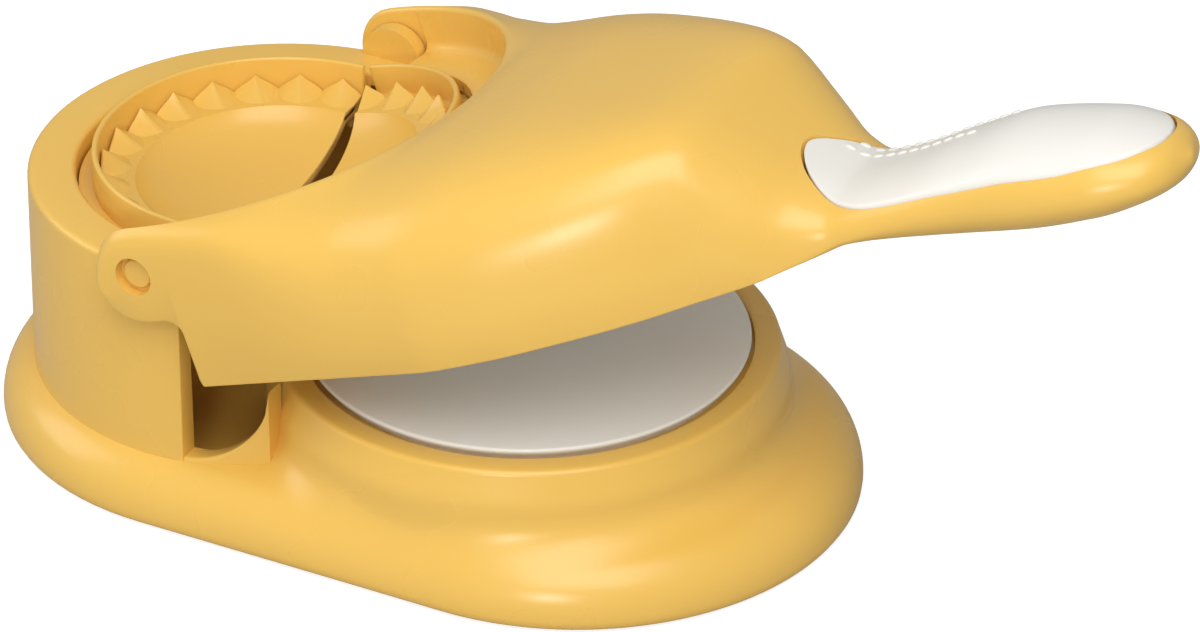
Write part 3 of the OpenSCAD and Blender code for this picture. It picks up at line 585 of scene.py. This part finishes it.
def finish(slot):
    """The finish of a material slot, made once."""
    look = bpy.context.scene.press_finish
    name = {"yellow_plastic": "abs_yellow_moulded", "white_plastic": "pp_white_moulded",
            "steel": "steel_zinc_plated", "rubber": "rubber_black_moulded"}[slot]
    known = bpy.data.materials.get(name)
    if known:
        return known
    if slot == "yellow_plastic":
        return moulded_plastic(name, look.yellow, look.yellow_tone, look.roughness, ABS_GRAIN)
    if slot == "white_plastic":
        return moulded_plastic(name, look.white, look.white_tone, look.roughness + 0.05, PP_GRAIN)
    if slot == "steel":
        return turned_steel(name, look.steel)
    return moulded_rubber(name, look.rubber)


def paper_white(name):
    """Plain white paper that the camera sees as pure white where no shadow falls."""
    material, tree = new_material(name)
    path = add_node(tree, "ShaderNodeLightPath")
    paper = add_node(tree, "ShaderNodeBsdfDiffuse", inputs={"Color": linear(FLOOR_PAPER)})
    glow = add_node(tree, "ShaderNodeEmission", inputs={"Color": (1, 1, 1, 1), "Strength": FLOOR_GLOW})
    both = add_node(tree, "ShaderNodeAddShader", links={0: paper.outputs[0], 1: glow.outputs[0]})
    mix = add_node(tree, "ShaderNodeMixShader",
                   links={0: path.outputs["Is Camera Ray"], 1: paper.outputs[0], 2: both.outputs[0]})
    add_node(tree, "ShaderNodeOutputMaterial", links={"Surface": mix.outputs[0]})
    return material


# ------------------------------------------------------------------ base

def reach(angle, radius=FOOT_R):
    """Distance from the pad's axis to a slot outline of that radius."""
    c = math.cos(angle)
    s = abs(math.sin(angle))
    side = radius / s if s > 1e-9 else 1e9
    side_x = PAD_X + side * c
    if side_x > FOOT_LEN:
        ahead = FOOT_LEN - PAD_X
        return ahead * c + math.sqrt(radius**2 - (ahead * s) ** 2)
    if side_x < 0:
        return -PAD_X * c + math.sqrt(max(0.0, radius**2 - (PAD_X * s) ** 2))
    return side


def pad_wall(z):
    """Radius of the pad's wall at a height."""
    return lerp(PAD_R, RING_R + 0.45, max(0.0, z - PAD_TAPER) / (WALL_TOP - PAD_TAPER))


def foot_z(r, angle):
    """Top of the foot at a distance from the pad's axis: a round edge, and a sweep up to the pad."""
    x = PAD_X + r * math.cos(angle)
    y = r * math.sin(angle)
    edge = size("foot_edge")
    from_edge = FOOT_R - math.hypot(x - min(FOOT_LEN, max(0.0, x)), y)
    e = min(edge, max(0.0, from_edge))
    sweep = min(size("pad_sweep"), reach(angle) - PAD_R)
    wall = pad_wall(FOOT_TOP + sweep)
    up = max(0.0, wall + sweep - max(r, wall))
    return (FOOT_TOP - edge + math.sqrt(edge**2 - (edge - e) ** 2)
            + sweep - math.sqrt(max(0.0, sweep**2 - up**2)))


FOOT_TURNS = 192                # sections round the pad's axis
FOOT_STEPS = 44                 # points from the foot's edge to the pad's wall
WALL_STEPS = 5                  # points up the pad's wall


def foot_profile(angle):
    """Section of foot and pad, from the underside out to the edge and back over the ring."""
    far = reach(angle)
    recess = reach(angle, COVER_RECESS)
    sweep_end = FOOT_TOP + min(size("pad_sweep"), far - PAD_R)
    wall = pad_wall(sweep_end)
    under = [(0, COVER_TOP), (recess * 0.6, COVER_TOP), (recess, COVER_TOP), (recess, FOOT_LOW),
             (far - 1.3, FOOT_LOW), (far - 0.5, FOOT_LOW + 0.3), (far - 0.12, FOOT_LOW + 0.9)]
    inwards = [far - (1 - math.cos(a)) * (far - wall) for a in spread(0, math.pi / 2, FOOT_STEPS)]
    top = [(r, foot_z(r, angle)) for r in inwards]
    climb = [(pad_wall(z), z) for z in spread(sweep_end, WALL_TOP, WALL_STEPS)[1:]]
    ring = (arc((RING_R - 1.0, RING_TOP - RING_ROUND), RING_ROUND, 10, 90, 6)
            + [(SEAT_R + 0.5, RING_TOP), (SEAT_R + 0.12, RING_TOP - 0.12), (SEAT_R, RING_TOP - 0.5),
               (SEAT_R, DECK_Z), (20, DECK_Z), (0, DECK_Z)])
    return under + top + climb + ring


def foot_and_pad():
    """Foot, sweep, pad and its ring in one skin, round the pad's axis."""
    sections = []
    for turn in range(FOOT_TURNS + 1):
        a = math.tau * (turn % FOOT_TURNS) / FOOT_TURNS
        sections.append([(PAD_X + r * math.cos(a), r * math.sin(a), z) for r, z in foot_profile(a)])
    return close_up(lofted(sections, closed=False))


def tower_wall():
    """C-shaped wall with a rounded rim, open towards the pad."""
    profile = ([(TOWER_R + TOWER_DRAFT, IN_FOOT)]
               + arc((TOWER_R - RIM_OUT, TOWER_TOP - RIM_OUT), RIM_OUT, 0, 90, 6)
               + arc((BORE_R + RIM_IN, TOWER_TOP - RIM_IN), RIM_IN, 90, 180, 6)
               + [(BORE_R, TOWER_TOP - RIM_T), (TOWER_IN - RIM_FILLET, TOWER_TOP - RIM_T)]
               + arc((TOWER_IN - RIM_FILLET, TOWER_TOP - RIM_T - RIM_FILLET), RIM_FILLET, 90, 0, 4)
               + [(TOWER_IN, IN_FOOT)])
    return cut(spun(profile, 192), (TOWER_FRONT, 0, 0), (1, 0, 0), FRONT_ROUND)


def half_ring(inner, outer, low, high):
    """Half of a plain ring, on the tower's rear side."""
    ring = spun([(inner, low), (outer, low), (outer, high), (inner, high)])
    return cut(ring, (SEAT_X, 0, 0), (1, 0, 0))


def mould_seat():
    """Half collar and ledge under the rear mould."""
    collar = half_ring(BORE_R, BORE_R + COLLAR_T, SEAT_LOW + STEP_IN, TOWER_TOP - COLLAR_T)
    ledge = half_ring(BORE_R - LEDGE_WIDE, BORE_R + COLLAR_T - STEP_IN, SEAT_LOW, SEAT_LOW + LEDGE_T)
    return [collar, ledge]


def web(side):
    """Web that carries the tower's wall on to the pad, with a scooped top edge."""
    sections = []
    for x in spread(TOWER_FRONT - WEB_ROOT, TOWER_FRONT + WEB_SCOOP, 29):
        outer = math.sqrt((TOWER_R + TOWER_DRAFT / 2) ** 2 - x**2)
        inner = math.sqrt(TOWER_IN**2 - x**2)
        ahead = min(WEB_SCOOP, max(0.0, x - TOWER_FRONT))
        top = WEB_TOP - math.sqrt(WEB_SCOOP**2 - ahead**2) - WEB_ROUND
        section = ([(outer, WEB_LOW)] + arc((outer - WEB_ROUND, top), WEB_ROUND, 0, 90, 4)
                   + arc((inner + WEB_ROUND, top), WEB_ROUND, 90, 180, 4) + [(inner, WEB_LOW)])
        sections.append([(x, side * y, z) for y, z in section])
    return with_ends(lofted(sections))


def boss(side):
    """Boss of the hinge on the tower's rim."""
    profile = ([(0, BOSS_IN), (BOSS_R, BOSS_IN)]
               + arc((BOSS_R - BOSS_ROUND, BOSS_OUT - BOSS_ROUND), BOSS_ROUND, 0, 90, 5)
               + [(PIN_R, BOSS_OUT), (PIN_R, BOSS_IN + PIN_SEAT), (0, BOSS_IN + PIN_SEAT)])
    at_hinge = Matrix.Translation((PIVOT_X, 0, PIVOT_Z))
    return moved(spun(profile, 96), at_hinge @ Matrix.Rotation(-side * math.pi / 2, 4, "X"))


def base_body():
    """The whole base moulding, with the well between tower and pad."""
    beyond = 80.0
    pad = rod(PAD_R, 0, beyond, Matrix.Translation((PAD_X, 0, 0)), 144)
    well = carved(rod(TOWER_IN, WELL_FLOOR, TOWER_TOP, steps=128), [pad])
    foot = carved(foot_and_pad(), [well])
    return joined([foot, tower_wall(), web(1), web(-1), boss(1), boss(-1)] + mould_seat())


# ------------------------------------------------------------------ moulds

def bowl_arc(rim_r, radius, depth, start, end, count):
    """Points of a bowl's oval profile between two angles, out to rim_r."""
    points = []
    for a in spread(start, end, count):
        r = rim_r * math.sin(math.radians(a))
        points.append((r, -depth * math.sqrt(max(0.0, 1 - (r / radius) ** 2))))
    return points


def mould_half(wall, lip, flange, flange_x, tip_first):
    """Half of the round mould: bowl, toothed rim, groove and wall, with its cut at the fold line."""
    bowl_r = size("bowl_radius")
    bowl_d = size("bowl_depth")
    under = -GROOVE_D - MOULD_PLATE
    outer_r = bowl_r + BOWL_WALL
    outer_d = bowl_d + BOWL_WALL
    brim = size("teeth_height") + BRIM_DROP
    brim_r = bowl_r * math.sqrt(1 - (brim / bowl_d) ** 2)
    join_r = outer_r * math.sqrt(1 - (under / outer_d) ** 2)
    round_off = (wall[1] - wall[0]) * 0.45
    inside = bowl_arc(brim_r, bowl_r, bowl_d, 0, 90, 26)
    outside = bowl_arc(join_r, outer_r, outer_d, 90, 0, 20)
    groove = [(TEETH_R - 0.5, -brim), (TEETH_R - 0.5, -GROOVE_D), (wall[0], -GROOVE_D)]
    profile = (inside + groove
               + arc((wall[0] + round_off, lip - round_off), round_off, 180, 90, 4)
               + arc((wall[1] - round_off, lip - round_off), round_off, 90, 0, 4)
               + [(wall[1], under)] + outside)
    bowl = cut(spun(profile, 192), (FOLD_GAP, 0, 0), (-1, 0, 0), FOLD_ROUND, 2)
    high = -GROOVE_D - FLANGE_SINK
    low = under + FLANGE_SINK
    root = wall[1] - 0.5
    rim = spun([(root, high), (flange, high), (flange, low), (root, low)])
    cut(rim, (flange_x, 0, 0), (-1, 0, 0))
    return joined([bowl, rim, teeth_ring(tip_first)])


def teeth_ring(tip_first):
    """Half ring of crimping teeth: ridges that rise outwards to the fold line, gently rounded."""
    bowl_r = size("bowl_radius")
    teeth_h = size("teeth_height")
    inner = bowl_r - TEETH_IN
    low = -size("bowl_depth") * math.sqrt(1 - (inner / bowl_r) ** 2)
    half_step = TEETH_STEP / 2
    steps = 2 * math.ceil((90 + half_step) / TEETH_STEP)
    fine = 6                     # sections from a valley to a tip
    sections = []
    for row in range(2 * steps * fine + 1):
        k = row / fine - steps
        near = abs(k) % 2
        share = 1 - near if near <= 1 else near - 1
        if not tip_first:
            share = 1 - share
        a = math.radians(k * half_step)
        # Between two ridges the rim runs straight
        chord = math.cos(math.radians(half_step / 2)) / math.cos(math.radians((k % 1 - 0.5) * half_step))
        rim = TEETH_R * (chord if 0 < k % 1 < 1 else 1.0)
        tip = lerp(-teeth_h, -0.05, share + RIDGE_ROUND * math.sin(math.tau * share))
        ring = [(inner, low - 0.4), (lerp(inner, rim, 0.5), lerp(low - 0.4, tip, 0.5)),
                (rim - 0.35, tip - 0.1), (rim, tip - 0.45), (rim, -teeth_h - 1.3), (inner, low - 1.2)]
        sections.append([(r * math.cos(a), r * math.sin(a), z) for r, z in ring])
    return cut(with_ends(lofted(sections)), (FOLD_GAP, 0, 0), (-1, 0, 0))


# ------------------------------------------------------------------ lever

SIDE_STEPS = 26                 # points up the outside, from the skirt to the lip
INNER_STEPS = 12                # points down the inside of the shell
POCKET_STEPS = 36               # sections along the pocket
# Where the other sections lie, closer together where the form turns quickly: angles on the arms'
# round ends, then distances from the pivot
END_ANGLES = [6, 12, 18, 25, 33, 42, 52, 63, 76, 90]
ARM_ROWS = [1.8, 3.6, 4.4, 5.3, 6.2, 7.0, 7.4, SKIRT_X]
SKIRT_ROWS = [(0.02, -25.2), (0.15, -25.75), (0.37, SKIRT_Z)]   # its rear corner: x past SKIRT_X, z
DOME_ROWS = [55.2, 56, 57, 58.5, 60] + spread(62, HOLLOW_END, 32)
HANDLE_ROWS = ([HOLLOW_END] + spread(HOLLOW_END + 1.5, 204, 52)
               + [205.5, 207, 208.2, 209.3, 210.2, 211, 211.6, 212.05, 212.35, 212.52, TIP_X])
OVERHANG = (55.0, 20.0)         # the pocket's overhang inside the dome: from where it fades, and its length


def pocket_chain():
    """Lip, pocket wall, floor, mouth and the pocket's underside, as (radius, height)."""
    lip = arc((LIP_R, LIP_Z - LIP_ROUND), LIP_ROUND, 72, 180, 6)
    fillet = arc((ARM_IN - FLOOR_FILLET, FLOOR_TOP + FLOOR_FILLET), FLOOR_FILLET, 0, -90, 5)
    return (lip[1:] + [(ARM_IN, WALL_MID)] + fillet
            + [(48.0, FLOOR_TOP), (MOUTH_R + MOUTH_EDGE, FLOOR_TOP), (MOUTH_R + 0.15, FLOOR_TOP - 0.15),
               (MOUTH_R, FLOOR_TOP - MOUTH_EDGE), (MOUTH_R, FLOOR_LOW), (49.0, FLOOR_LOW),
               (POCKET_OUT, FLOOR_LOW)])


POCKET = pocket_chain()


def arm_range(x):
    """Lowest and highest point of the arm's plate at x."""
    if x < 0:
        half = math.sqrt(max(0.0, ARM_R**2 - x**2))
        return ARM_MID - half, ARM_MID + half
    if x <= SKIRT_X - ARM_FILLET:
        return ARM_LOW, CROWN
    over = min(ARM_FILLET, x - SKIRT_X + ARM_FILLET)
    return ARM_LOW - ARM_FILLET + math.sqrt(ARM_FILLET**2 - over**2), CROWN


def outer_curve(x, low, high, y_end):
    """The outside at x, from height low up to where it is y_end from the middle."""
    half = station(x, HALF)
    middle = station(x, MIDDLE)
    e = 2 / station(x, ROUNDNESS)
    start = math.asin(min(1.0, max(0.0, (low - middle) / (high - middle))) ** (1 / e))
    end = math.acos(min(1.0, y_end / half) ** (1 / e))
    return [(x, max(y_end, half * max(0.0, math.cos(a)) ** e),
             middle + (high - middle) * max(0.0, math.sin(a)) ** e)
            for a in spread(start, end, SIDE_STEPS)]


def lifted(curve, lift, away):
    """The curve brought up or down to the lip, the more so the nearer it comes."""
    return [(x, y, z + lift * max(0.0, 1 - max(0.0, away(x, y)) / LIP_BLEND) ** 2) for x, y, z in curve]


def from_lip(x, y):
    """Distance from the lip's circle."""
    return math.hypot(x, y) - LIP_R


def inner_curve(x, y_top, z_join, low):
    """The shell's inside at x, from the pocket's outer wall over and down to the skirt's edge."""
    half = station(x, HALF) - SHELL
    middle = station(x, MIDDLE)
    top = station(x, TOP) - SHELL
    e = 2 / station(x, ROUNDNESS)
    y_top = min(y_top, half)
    a_top = max(0.02, math.acos(min(1.0, y_top / half) ** (1 / e)))
    roof = middle + (top - middle) * math.sin(a_top) ** e
    if z_join is not None:
        roof = lerp(z_join, roof, min(1.0, (half - y_top) / 4))
    points = []
    for a in spread(a_top, 0, INNER_STEPS):
        share = (max(0.0, math.sin(a)) / math.sin(a_top)) ** e
        y = half * math.cos(a) ** e if y_top < half - 0.01 else half
        points.append((x, y, middle + (roof - middle) * share))
    points[-1] = (x, half, low)
    return points


def corner_size(low, high):
    """Rounding of the lower edge, smaller where the section is low."""
    return min(SKIRT_CORNER, (high - low) / 4)


def shell_section(outer, crossing, inner, low, corner):
    """One closed section of half the shell: up the outside, across, down the inside and back
    under its lower edge."""
    x, edge = outer[0][:2]
    inner_x, inner_y = inner[-1][:2]
    foot = [(inner_x, inner_y + 0.2 * corner, low + 0.2 * corner), (inner_x, inner_y + corner, low),
            (x, edge - corner, low), (x, edge - 0.3 * corner, low + 0.3 * corner)]
    return outer + crossing + inner + foot


def arm_section(x, low, high):
    """Section of an arm, beside the tower."""
    corner = corner_size(low, high)
    ahead = max(0.0, x)
    y_end = math.sqrt(LIP_R**2 - ahead**2)
    outer = outer_curve(x, low + corner, high, y_end)
    outer = lifted(outer, high - (CROWN - LIP_Z) - outer[-1][2], lambda x, y: y - y_end)
    floor_z = max(FLOOR_LOW, low + corner)
    crossing = [(x, math.sqrt(r**2 - ahead**2) if z > WALL_MID else ARM_IN,
                 min(max(z + high - CROWN, floor_z), high)) for r, z in POCKET]
    inner = [(x, ARM_IN, z) for z in spread(floor_z, low + corner, INNER_STEPS)]
    return shell_section(outer, crossing, inner, low, corner)


def pocket_section(angle):
    """Section at the pocket: inside it follows a radius of the pocket, outside it is straight."""
    s = math.sin(angle)
    c = math.cos(angle)
    x = LIP_R * s
    low = station(x, UNDER)
    high = station(x, TOP)
    corner = corner_size(low, high)
    outer = outer_curve(x, low + corner, high, LIP_R * c)
    outer = lifted(outer, LIP_Z - outer[-1][2], from_lip)
    crossing = [(r * s, r * c, z) for r, z in POCKET]
    inner_x = POCKET_OUT * s
    y_top = min(station(inner_x, HALF) - SHELL, POCKET_OUT * c)
    crossing[-1] = (inner_x, y_top, FLOOR_LOW)
    inner = inner_curve(inner_x, y_top, FLOOR_LOW, low + corner)
    inner[0] = crossing[-1]
    return shell_section(outer, crossing, inner, low, corner)


def dome_section(x):
    """Section of the hollow dome, ahead of the pocket."""
    low = station(x, UNDER)
    high = station(x, TOP)
    corner = corner_size(low, high)
    outer = outer_curve(x, low + corner, high, 0.0)
    outer = lifted(outer, LIP_Z - station(LIP_R, TOP), from_lip)
    inner_x = x + (POCKET_OUT - LIP_R) * max(0.0, 1 - (x - OVERHANG[0]) / OVERHANG[1])
    inner = inner_curve(inner_x, 0.0, None, low + corner)
    inner[0] = (x, 0.0, inner[0][2])
    return shell_section(outer, [inner[0]] * len(POCKET), inner, low, corner)


def handle_section(x):
    """Section of the solid handle, which ends in a point."""
    middle = station(x, MIDDLE)
    half, top, low = (0.0, middle, middle) if x >= TIP_X else (
        station(x, HALF), station(x, TOP), station(x, UNDER))
    e = 2 / station(x, ROUNDNESS)
    u = 2 / lerp(UNDER_SQUARE, UNDER_ROUND, min(1.0, (x - HOLLOW_END) / UNDER_BLEND))
    outer = [(x, half * max(0.0, math.cos(a)) ** e, middle + (top - middle) * math.sin(a) ** e)
             for a in spread(0, math.pi / 2, SIDE_STEPS)]
    core = [(x, 0.0, low)] * (len(POCKET) + 1)
    under = [(x, half * max(0.0, math.cos(a)) ** u, middle - (middle - low) * math.sin(a) ** u)
             for a in spread(math.pi / 2, 0, INNER_STEPS + 4)]
    return outer + core + under[:-1]


def lever_skin():
    """The lever's moulding: arms, pocket, hollow dome and closed handle in one skin."""
    arm_x = [-ARM_R * math.cos(math.radians(a)) for a in END_ANGLES] + ARM_ROWS
    arm = [arm_section(x, *arm_range(x)) for x in arm_x]
    skirt = [arm_section(SKIRT_X + ahead, low, station(SKIRT_X + ahead, TOP)) for ahead, low in SKIRT_ROWS]
    first = math.degrees(math.asin(FLOOR_X / LIP_R))
    pocket = [pocket_section(math.radians(a)) for a in spread(first, 90, POCKET_STEPS)]
    dome = [dome_section(x) for x in DOME_ROWS]
    handle = [handle_section(x) for x in HANDLE_ROWS]
    end = [(-ARM_R, (ARM_IN + LEVER_HALF) / 2, ARM_MID)] * len(dome[0])
    behind = [end] + arm + skirt + pocket

    def in_core(row, column):
        """Faces that would lie in the lever's middle plane, ahead of the pocket."""
        return row >= len(behind) - 1 and SIDE_STEPS <= column <= SIDE_STEPS + len(POCKET)

    bm = lofted(behind + dome + handle, dropped=in_core)
    bmesh.ops.remove_doubles(bm, verts=bm.verts, dist=MERGE)
    geom = list(bm.verts) + list(bm.edges) + list(bm.faces)
    bmesh.ops.mirror(bm, geom=geom, matrix=Matrix.Identity(4), merge_dist=MERGE, axis="Y")
    return close_up(bm)


def lever_moulding():
    """The lever with its pin bores and the inlay's seat."""
    cutters = []
    for side in (1, -1):
        turn = Matrix.Rotation(-side * math.pi / 2, 4, "X")
        cutters.append(rod(PIN_R, ARM_IN - 2, LEVER_HALF + 2, turn, 64))
        cutters.append(rod(PIN_RECESS_R, LEVER_HALF - size("pin_recess"), LEVER_HALF + 3, turn, 64))
    return carved(lever_skin(), cutters + [inlay_seat()])


# ------------------------------------------------------------------ inlay

def inlay_places(count):
    """Places along the inlay from end to end, close together at its ends: (x, half width, cosine)."""
    middle = (INLAY_START + INLAY_END) / 2
    reach_out = (INLAY_END - INLAY_START) / 2
    places = []
    for row in range(count):
        c = math.cos(math.pi * row / (count - 1))
        x = middle - reach_out * c
        places.append((x, 0.0 if row in (0, count - 1) else inlay_width(x), c))
    return places


def inlay_seat():
    """Block that cuts the inlay's seat, with a floor that follows the handle."""
    above = 20.0
    sections = []
    for spot, half, c in inlay_places(60):
        x = spot - INLAY_GAP * c
        half = half + INLAY_GAP if half else 0.0
        if x < SEAT_STEEP[0]:
            floor = station(x, TOP) - SEAT_STEEP[1]
        else:
            floor = max(dome_z(x, half) - SEAT_DEPTH, SEAT_FLOOR)
        sections.append([(x, -half, floor), (x, half, floor), (x, half, above), (x, -half, above)])
    return close_up(lofted(sections))


def handle_inlay():
    """White cap in the handle: it follows the handle's crown and is rounded at its edge."""
    sections = []
    for x, half, _ in inlay_places(110):
        end_drop = 0.75 * max(0.0, 1 - half / 1.5) ** 2
        edge = [(max(0.0, half - inset), drop) for inset, drop in INLAY_EDGE]
        across = [(t * max(0.0, half - 1.0), 0.0) for t in spread(-1, 1, 28)]
        top = [(-y, drop) for y, drop in edge] + across + edge[::-1]
        low = max(dome_z(x, half) - size("inlay_thick"), INLAY_LOW)
        sections.append([(x, y, dome_z(x, y) + drop - end_drop) for y, drop in top]
                        + [(x, half, low), (x, -half, low)])
    return joined([close_up(lofted(sections))] + [oval(x, y) for x, y in oval_spots()])


def oval_spots():
    """Places of the small ovals, row by row."""
    return [(lerp(first[0], last[0], k / (count - 1)), lerp(first[1], last[1], k / (count - 1)))
            for first, last, count in OVAL_ROWS for k in range(count)]


def oval(x, y):
    """Small raised oval that lies on the inlay's surface."""
    step = 0.5
    along = Vector((2 * step, 0, dome_z(x + step, y) - dome_z(x - step, y))).normalized()
    across = Vector((0, 2 * step, dome_z(x, y + step) - dome_z(x, y - step))).normalized()
    up = along.cross(across).normalized()
    turn = Matrix((along, up.cross(along), up)).transposed().to_4x4()
    stretch = Matrix.Diagonal((size("oval_long"), size("oval_wide"), size("oval_high"), 1.0))
    bm = bmesh.new()
    bmesh.ops.create_uvsphere(bm, u_segments=20, v_segments=12, radius=1.0)
    return moved(bm, Matrix.Translation((x, y, dome_z(x, y))) @ turn @ stretch)


# ------------------------------------------------------------------ stage helpers

def aim(obj, target):
    """Turns a camera or lamp to look at a point."""
    obj.rotation_euler = (target - obj.location).to_track_quat("-Z", "Y").to_euler()


def paper_floor():
    """Large white sheet under the press."""
    mesh = bpy.data.meshes.new("floor")
    bm = bmesh.new()
    bmesh.ops.create_grid(bm, x_segments=1, y_segments=1, size=FLOOR_SIZE)
    bm.to_mesh(mesh)
    bm.free()
    floor = bpy.data.objects.new("floor", mesh)
    mesh.materials.append(paper_white("paper_white"))
    bpy.context.scene.collection.objects.link(floor)


def press_camera(stage):
    """Camera at the stage's angles round the point it looks at."""
    a = stage.azimuth
    e = stage.elevation
    back = Vector((math.sin(a) * math.cos(e), -math.cos(a) * math.cos(e), math.sin(e)))
    data = bpy.data.cameras.new("camera")
    data.lens = stage.lens
    data.sensor_width = SENSOR_MM
    data.sensor_fit = "HORIZONTAL"
    camera = bpy.data.objects.new("camera", data)
    bpy.context.scene.collection.objects.link(camera)
    camera.location = LOOK_AT + back * stage.distance
    aim(camera, LOOK_AT)
    bpy.context.scene.camera = camera


def soft_lamp(name, watts, spot, side):
    """Square soft lamp that shines on the press."""
    data = bpy.data.lights.new(name, "AREA")
    data.energy = watts
    data.shape = "RECTANGLE"
    data.size = side
    data.size_y = side
    lamp = bpy.data.objects.new(name, data)
    bpy.context.scene.collection.objects.link(lamp)
    lamp.location = spot
    aim(lamp, LAMPS_AIM)


def white_studio(strength):
    """World that the camera sees as white, and that lights the press evenly at its own strength."""
    world = bpy.data.worlds.new("studio")
    bpy.context.scene.world = world
    world.use_nodes = True
    tree = world.node_tree
    tree.nodes.clear()
    path = add_node(tree, "ShaderNodeLightPath")
    glow = add_node(tree, "ShaderNodeBackground", inputs={"Color": (1, 1, 1, 1), "Strength": strength})
    white = add_node(tree, "ShaderNodeBackground", inputs={"Color": (1, 1, 1, 1), "Strength": 1.0})
    mix = add_node(tree, "ShaderNodeMixShader",
                   links={0: path.outputs["Is Camera Ray"], 1: glow.outputs[0], 2: white.outputs[0]})
    add_node(tree, "ShaderNodeOutputWorld", links={"Surface": mix.outputs[0]})


# ------------------------------------------------------------------ operators

class PRESS_OT_fittings(bpy.types.Operator):
    """Finishes of the pieces that keep their construction: cover, carrier, plate, pins, screws and feet"""
    bl_idname = "press.fittings"
    bl_label = "Fittings"

    def execute(self, context):
        for entry in frame["record"]["subparts"]:
            obj = frame["nodes"][entry["node"]]
            obj.data.materials.clear()
            obj.data.materials.append(finish(entry["material_slot"]))
        return {"FINISHED"}


class PRESS_OT_base(bpy.types.Operator):
    """Foot, pad, tower and webs of the base in one moulding"""
    bl_idname = "press.base"
    bl_label = "Base moulding"

    def execute(self, context):
        piece("base_moulding", base_body(), IN_PLACE, "base", "yellow_plastic", ["base_shell"])
        return {"FINISHED"}


class PRESS_OT_lower_plate(bpy.types.Operator):
    """White press plate in the pad"""
    bl_idname = "press.lower_plate"
    bl_label = "Lower plate"

    def execute(self, context):
        r = size("plate_radius")
        top = size("plate_top")
        step_in = 1.8
        profile = ([(0, DECK_Z), (r - step_in, DECK_Z), (r - step_in, top - 1.5), (r - 0.3, top - 1.2)]
                   + arc((r - 0.6, top - 0.6), 0.6, 0, 90, 5) + [(0, top)])
        plate = moved(spun(profile, 192), Matrix.Translation((PAD_X, 0, 0)))
        piece("lower_plate_disc", plate, IN_PLACE, "base", "white_plastic", ["lower_plate"])
        return {"FINISHED"}


class PRESS_OT_moulds(bpy.types.Operator):
    """Both halves of the dumpling mould"""
    bl_idname = "press.moulds"
    bl_label = "Moulds"

    def execute(self, context):
        rear = mould_half(REAR_WALL, REAR_LIP, REAR_FLANGE, FOLD_GAP, False)
        piece("rear_mould_half", rear, AT_PIVOT @ Matrix.Rotation(math.pi, 4, "Z"), "base",
              "yellow_plastic", ["rear_mould"], 30)
        front = mould_half(FRONT_WALL, FRONT_LIP, FRONT_FLANGE, FRONT_FLANGE_X, True)
        piece("front_mould_half", front, IN_LEVER, "lever", "yellow_plastic", ["front_mould"], 30)
        return {"FINISHED"}


class PRESS_OT_lever(bpy.types.Operator):
    """Lever with its arms, pocket, dome and handle in one moulding"""
    bl_idname = "press.lever"
    bl_label = "Lever moulding"

    def execute(self, context):
        piece("lever_moulding", lever_moulding(), IN_LEVER, "lever", "yellow_plastic", ["lever_shell"])
        return {"FINISHED"}


class PRESS_OT_inlay(bpy.types.Operator):
    """White inlay of the handle"""
    bl_idname = "press.inlay"
    bl_label = "Handle inlay"

    def execute(self, context):
        piece("inlay_cap", handle_inlay(), IN_LEVER, "lever", "white_plastic", ["handle_inlay"])
        return {"FINISHED"}


class PRESS_OT_stage(bpy.types.Operator):
    """Floor, camera, lamps and white studio"""
    bl_idname = "press.stage"
    bl_label = "Stage"

    def execute(self, context):
        stage = context.scene.press_stage
        paper_floor()
        press_camera(stage)
        for name, (spot, side) in LAMPS.items():
            soft_lamp(name, getattr(stage, name), spot, side)
        white_studio(stage.sky)
        context.scene.view_settings.view_transform = "Standard"
        return {"FINISHED"}


OPERATORS = (PRESS_OT_fittings, PRESS_OT_base, PRESS_OT_lower_plate, PRESS_OT_moulds, PRESS_OT_lever,
             PRESS_OT_inlay, PRESS_OT_stage)


class PRESS_PT_panel(bpy.types.Panel):
    """Lists the press's pieces and settings"""
    bl_idname = "PRESS_PT_panel"
    bl_label = "Dumpling press"
    bl_space_type = "VIEW_3D"
    bl_region_type = "UI"
    bl_category = "Press"

    def draw(self, context):
        layout = self.layout
        scene = context.scene
        for group in (scene.press_sizes, scene.press_finish, scene.press_stage):
            for name in group.bl_rna.properties.keys():
                if name not in ("rna_type", "name"):
                    layout.prop(group, name)
        for operator in OPERATORS:
            layout.operator(operator.bl_idname)


CLASSES = (PressSizes, PressFinish, PressStage) + OPERATORS + (PRESS_PT_panel,)


def register():
    """Adds the classes, and the settings on the scene."""
    for cls in CLASSES:
        bpy.utils.register_class(cls)
    bpy.types.Scene.press_sizes = bpy.props.PointerProperty(type=PressSizes)
    bpy.types.Scene.press_finish = bpy.props.PointerProperty(type=PressFinish)
    bpy.types.Scene.press_stage = bpy.props.PointerProperty(type=PressStage)


def unregister():
    """Takes them away again."""
    del bpy.types.Scene.press_stage
    del bpy.types.Scene.press_finish
    del bpy.types.Scene.press_sizes
    for cls in reversed(CLASSES):
        bpy.utils.unregister_class(cls)


def main():
    """Builds the press and its stage."""
    register()
    bpy.ops.press.fittings()
    bpy.ops.press.base()
    bpy.ops.press.lower_plate()
    bpy.ops.press.moulds()
    bpy.ops.press.lever()
    bpy.ops.press.inlay()
    bpy.ops.press.stage()


if __name__ == "__main__":
    main()
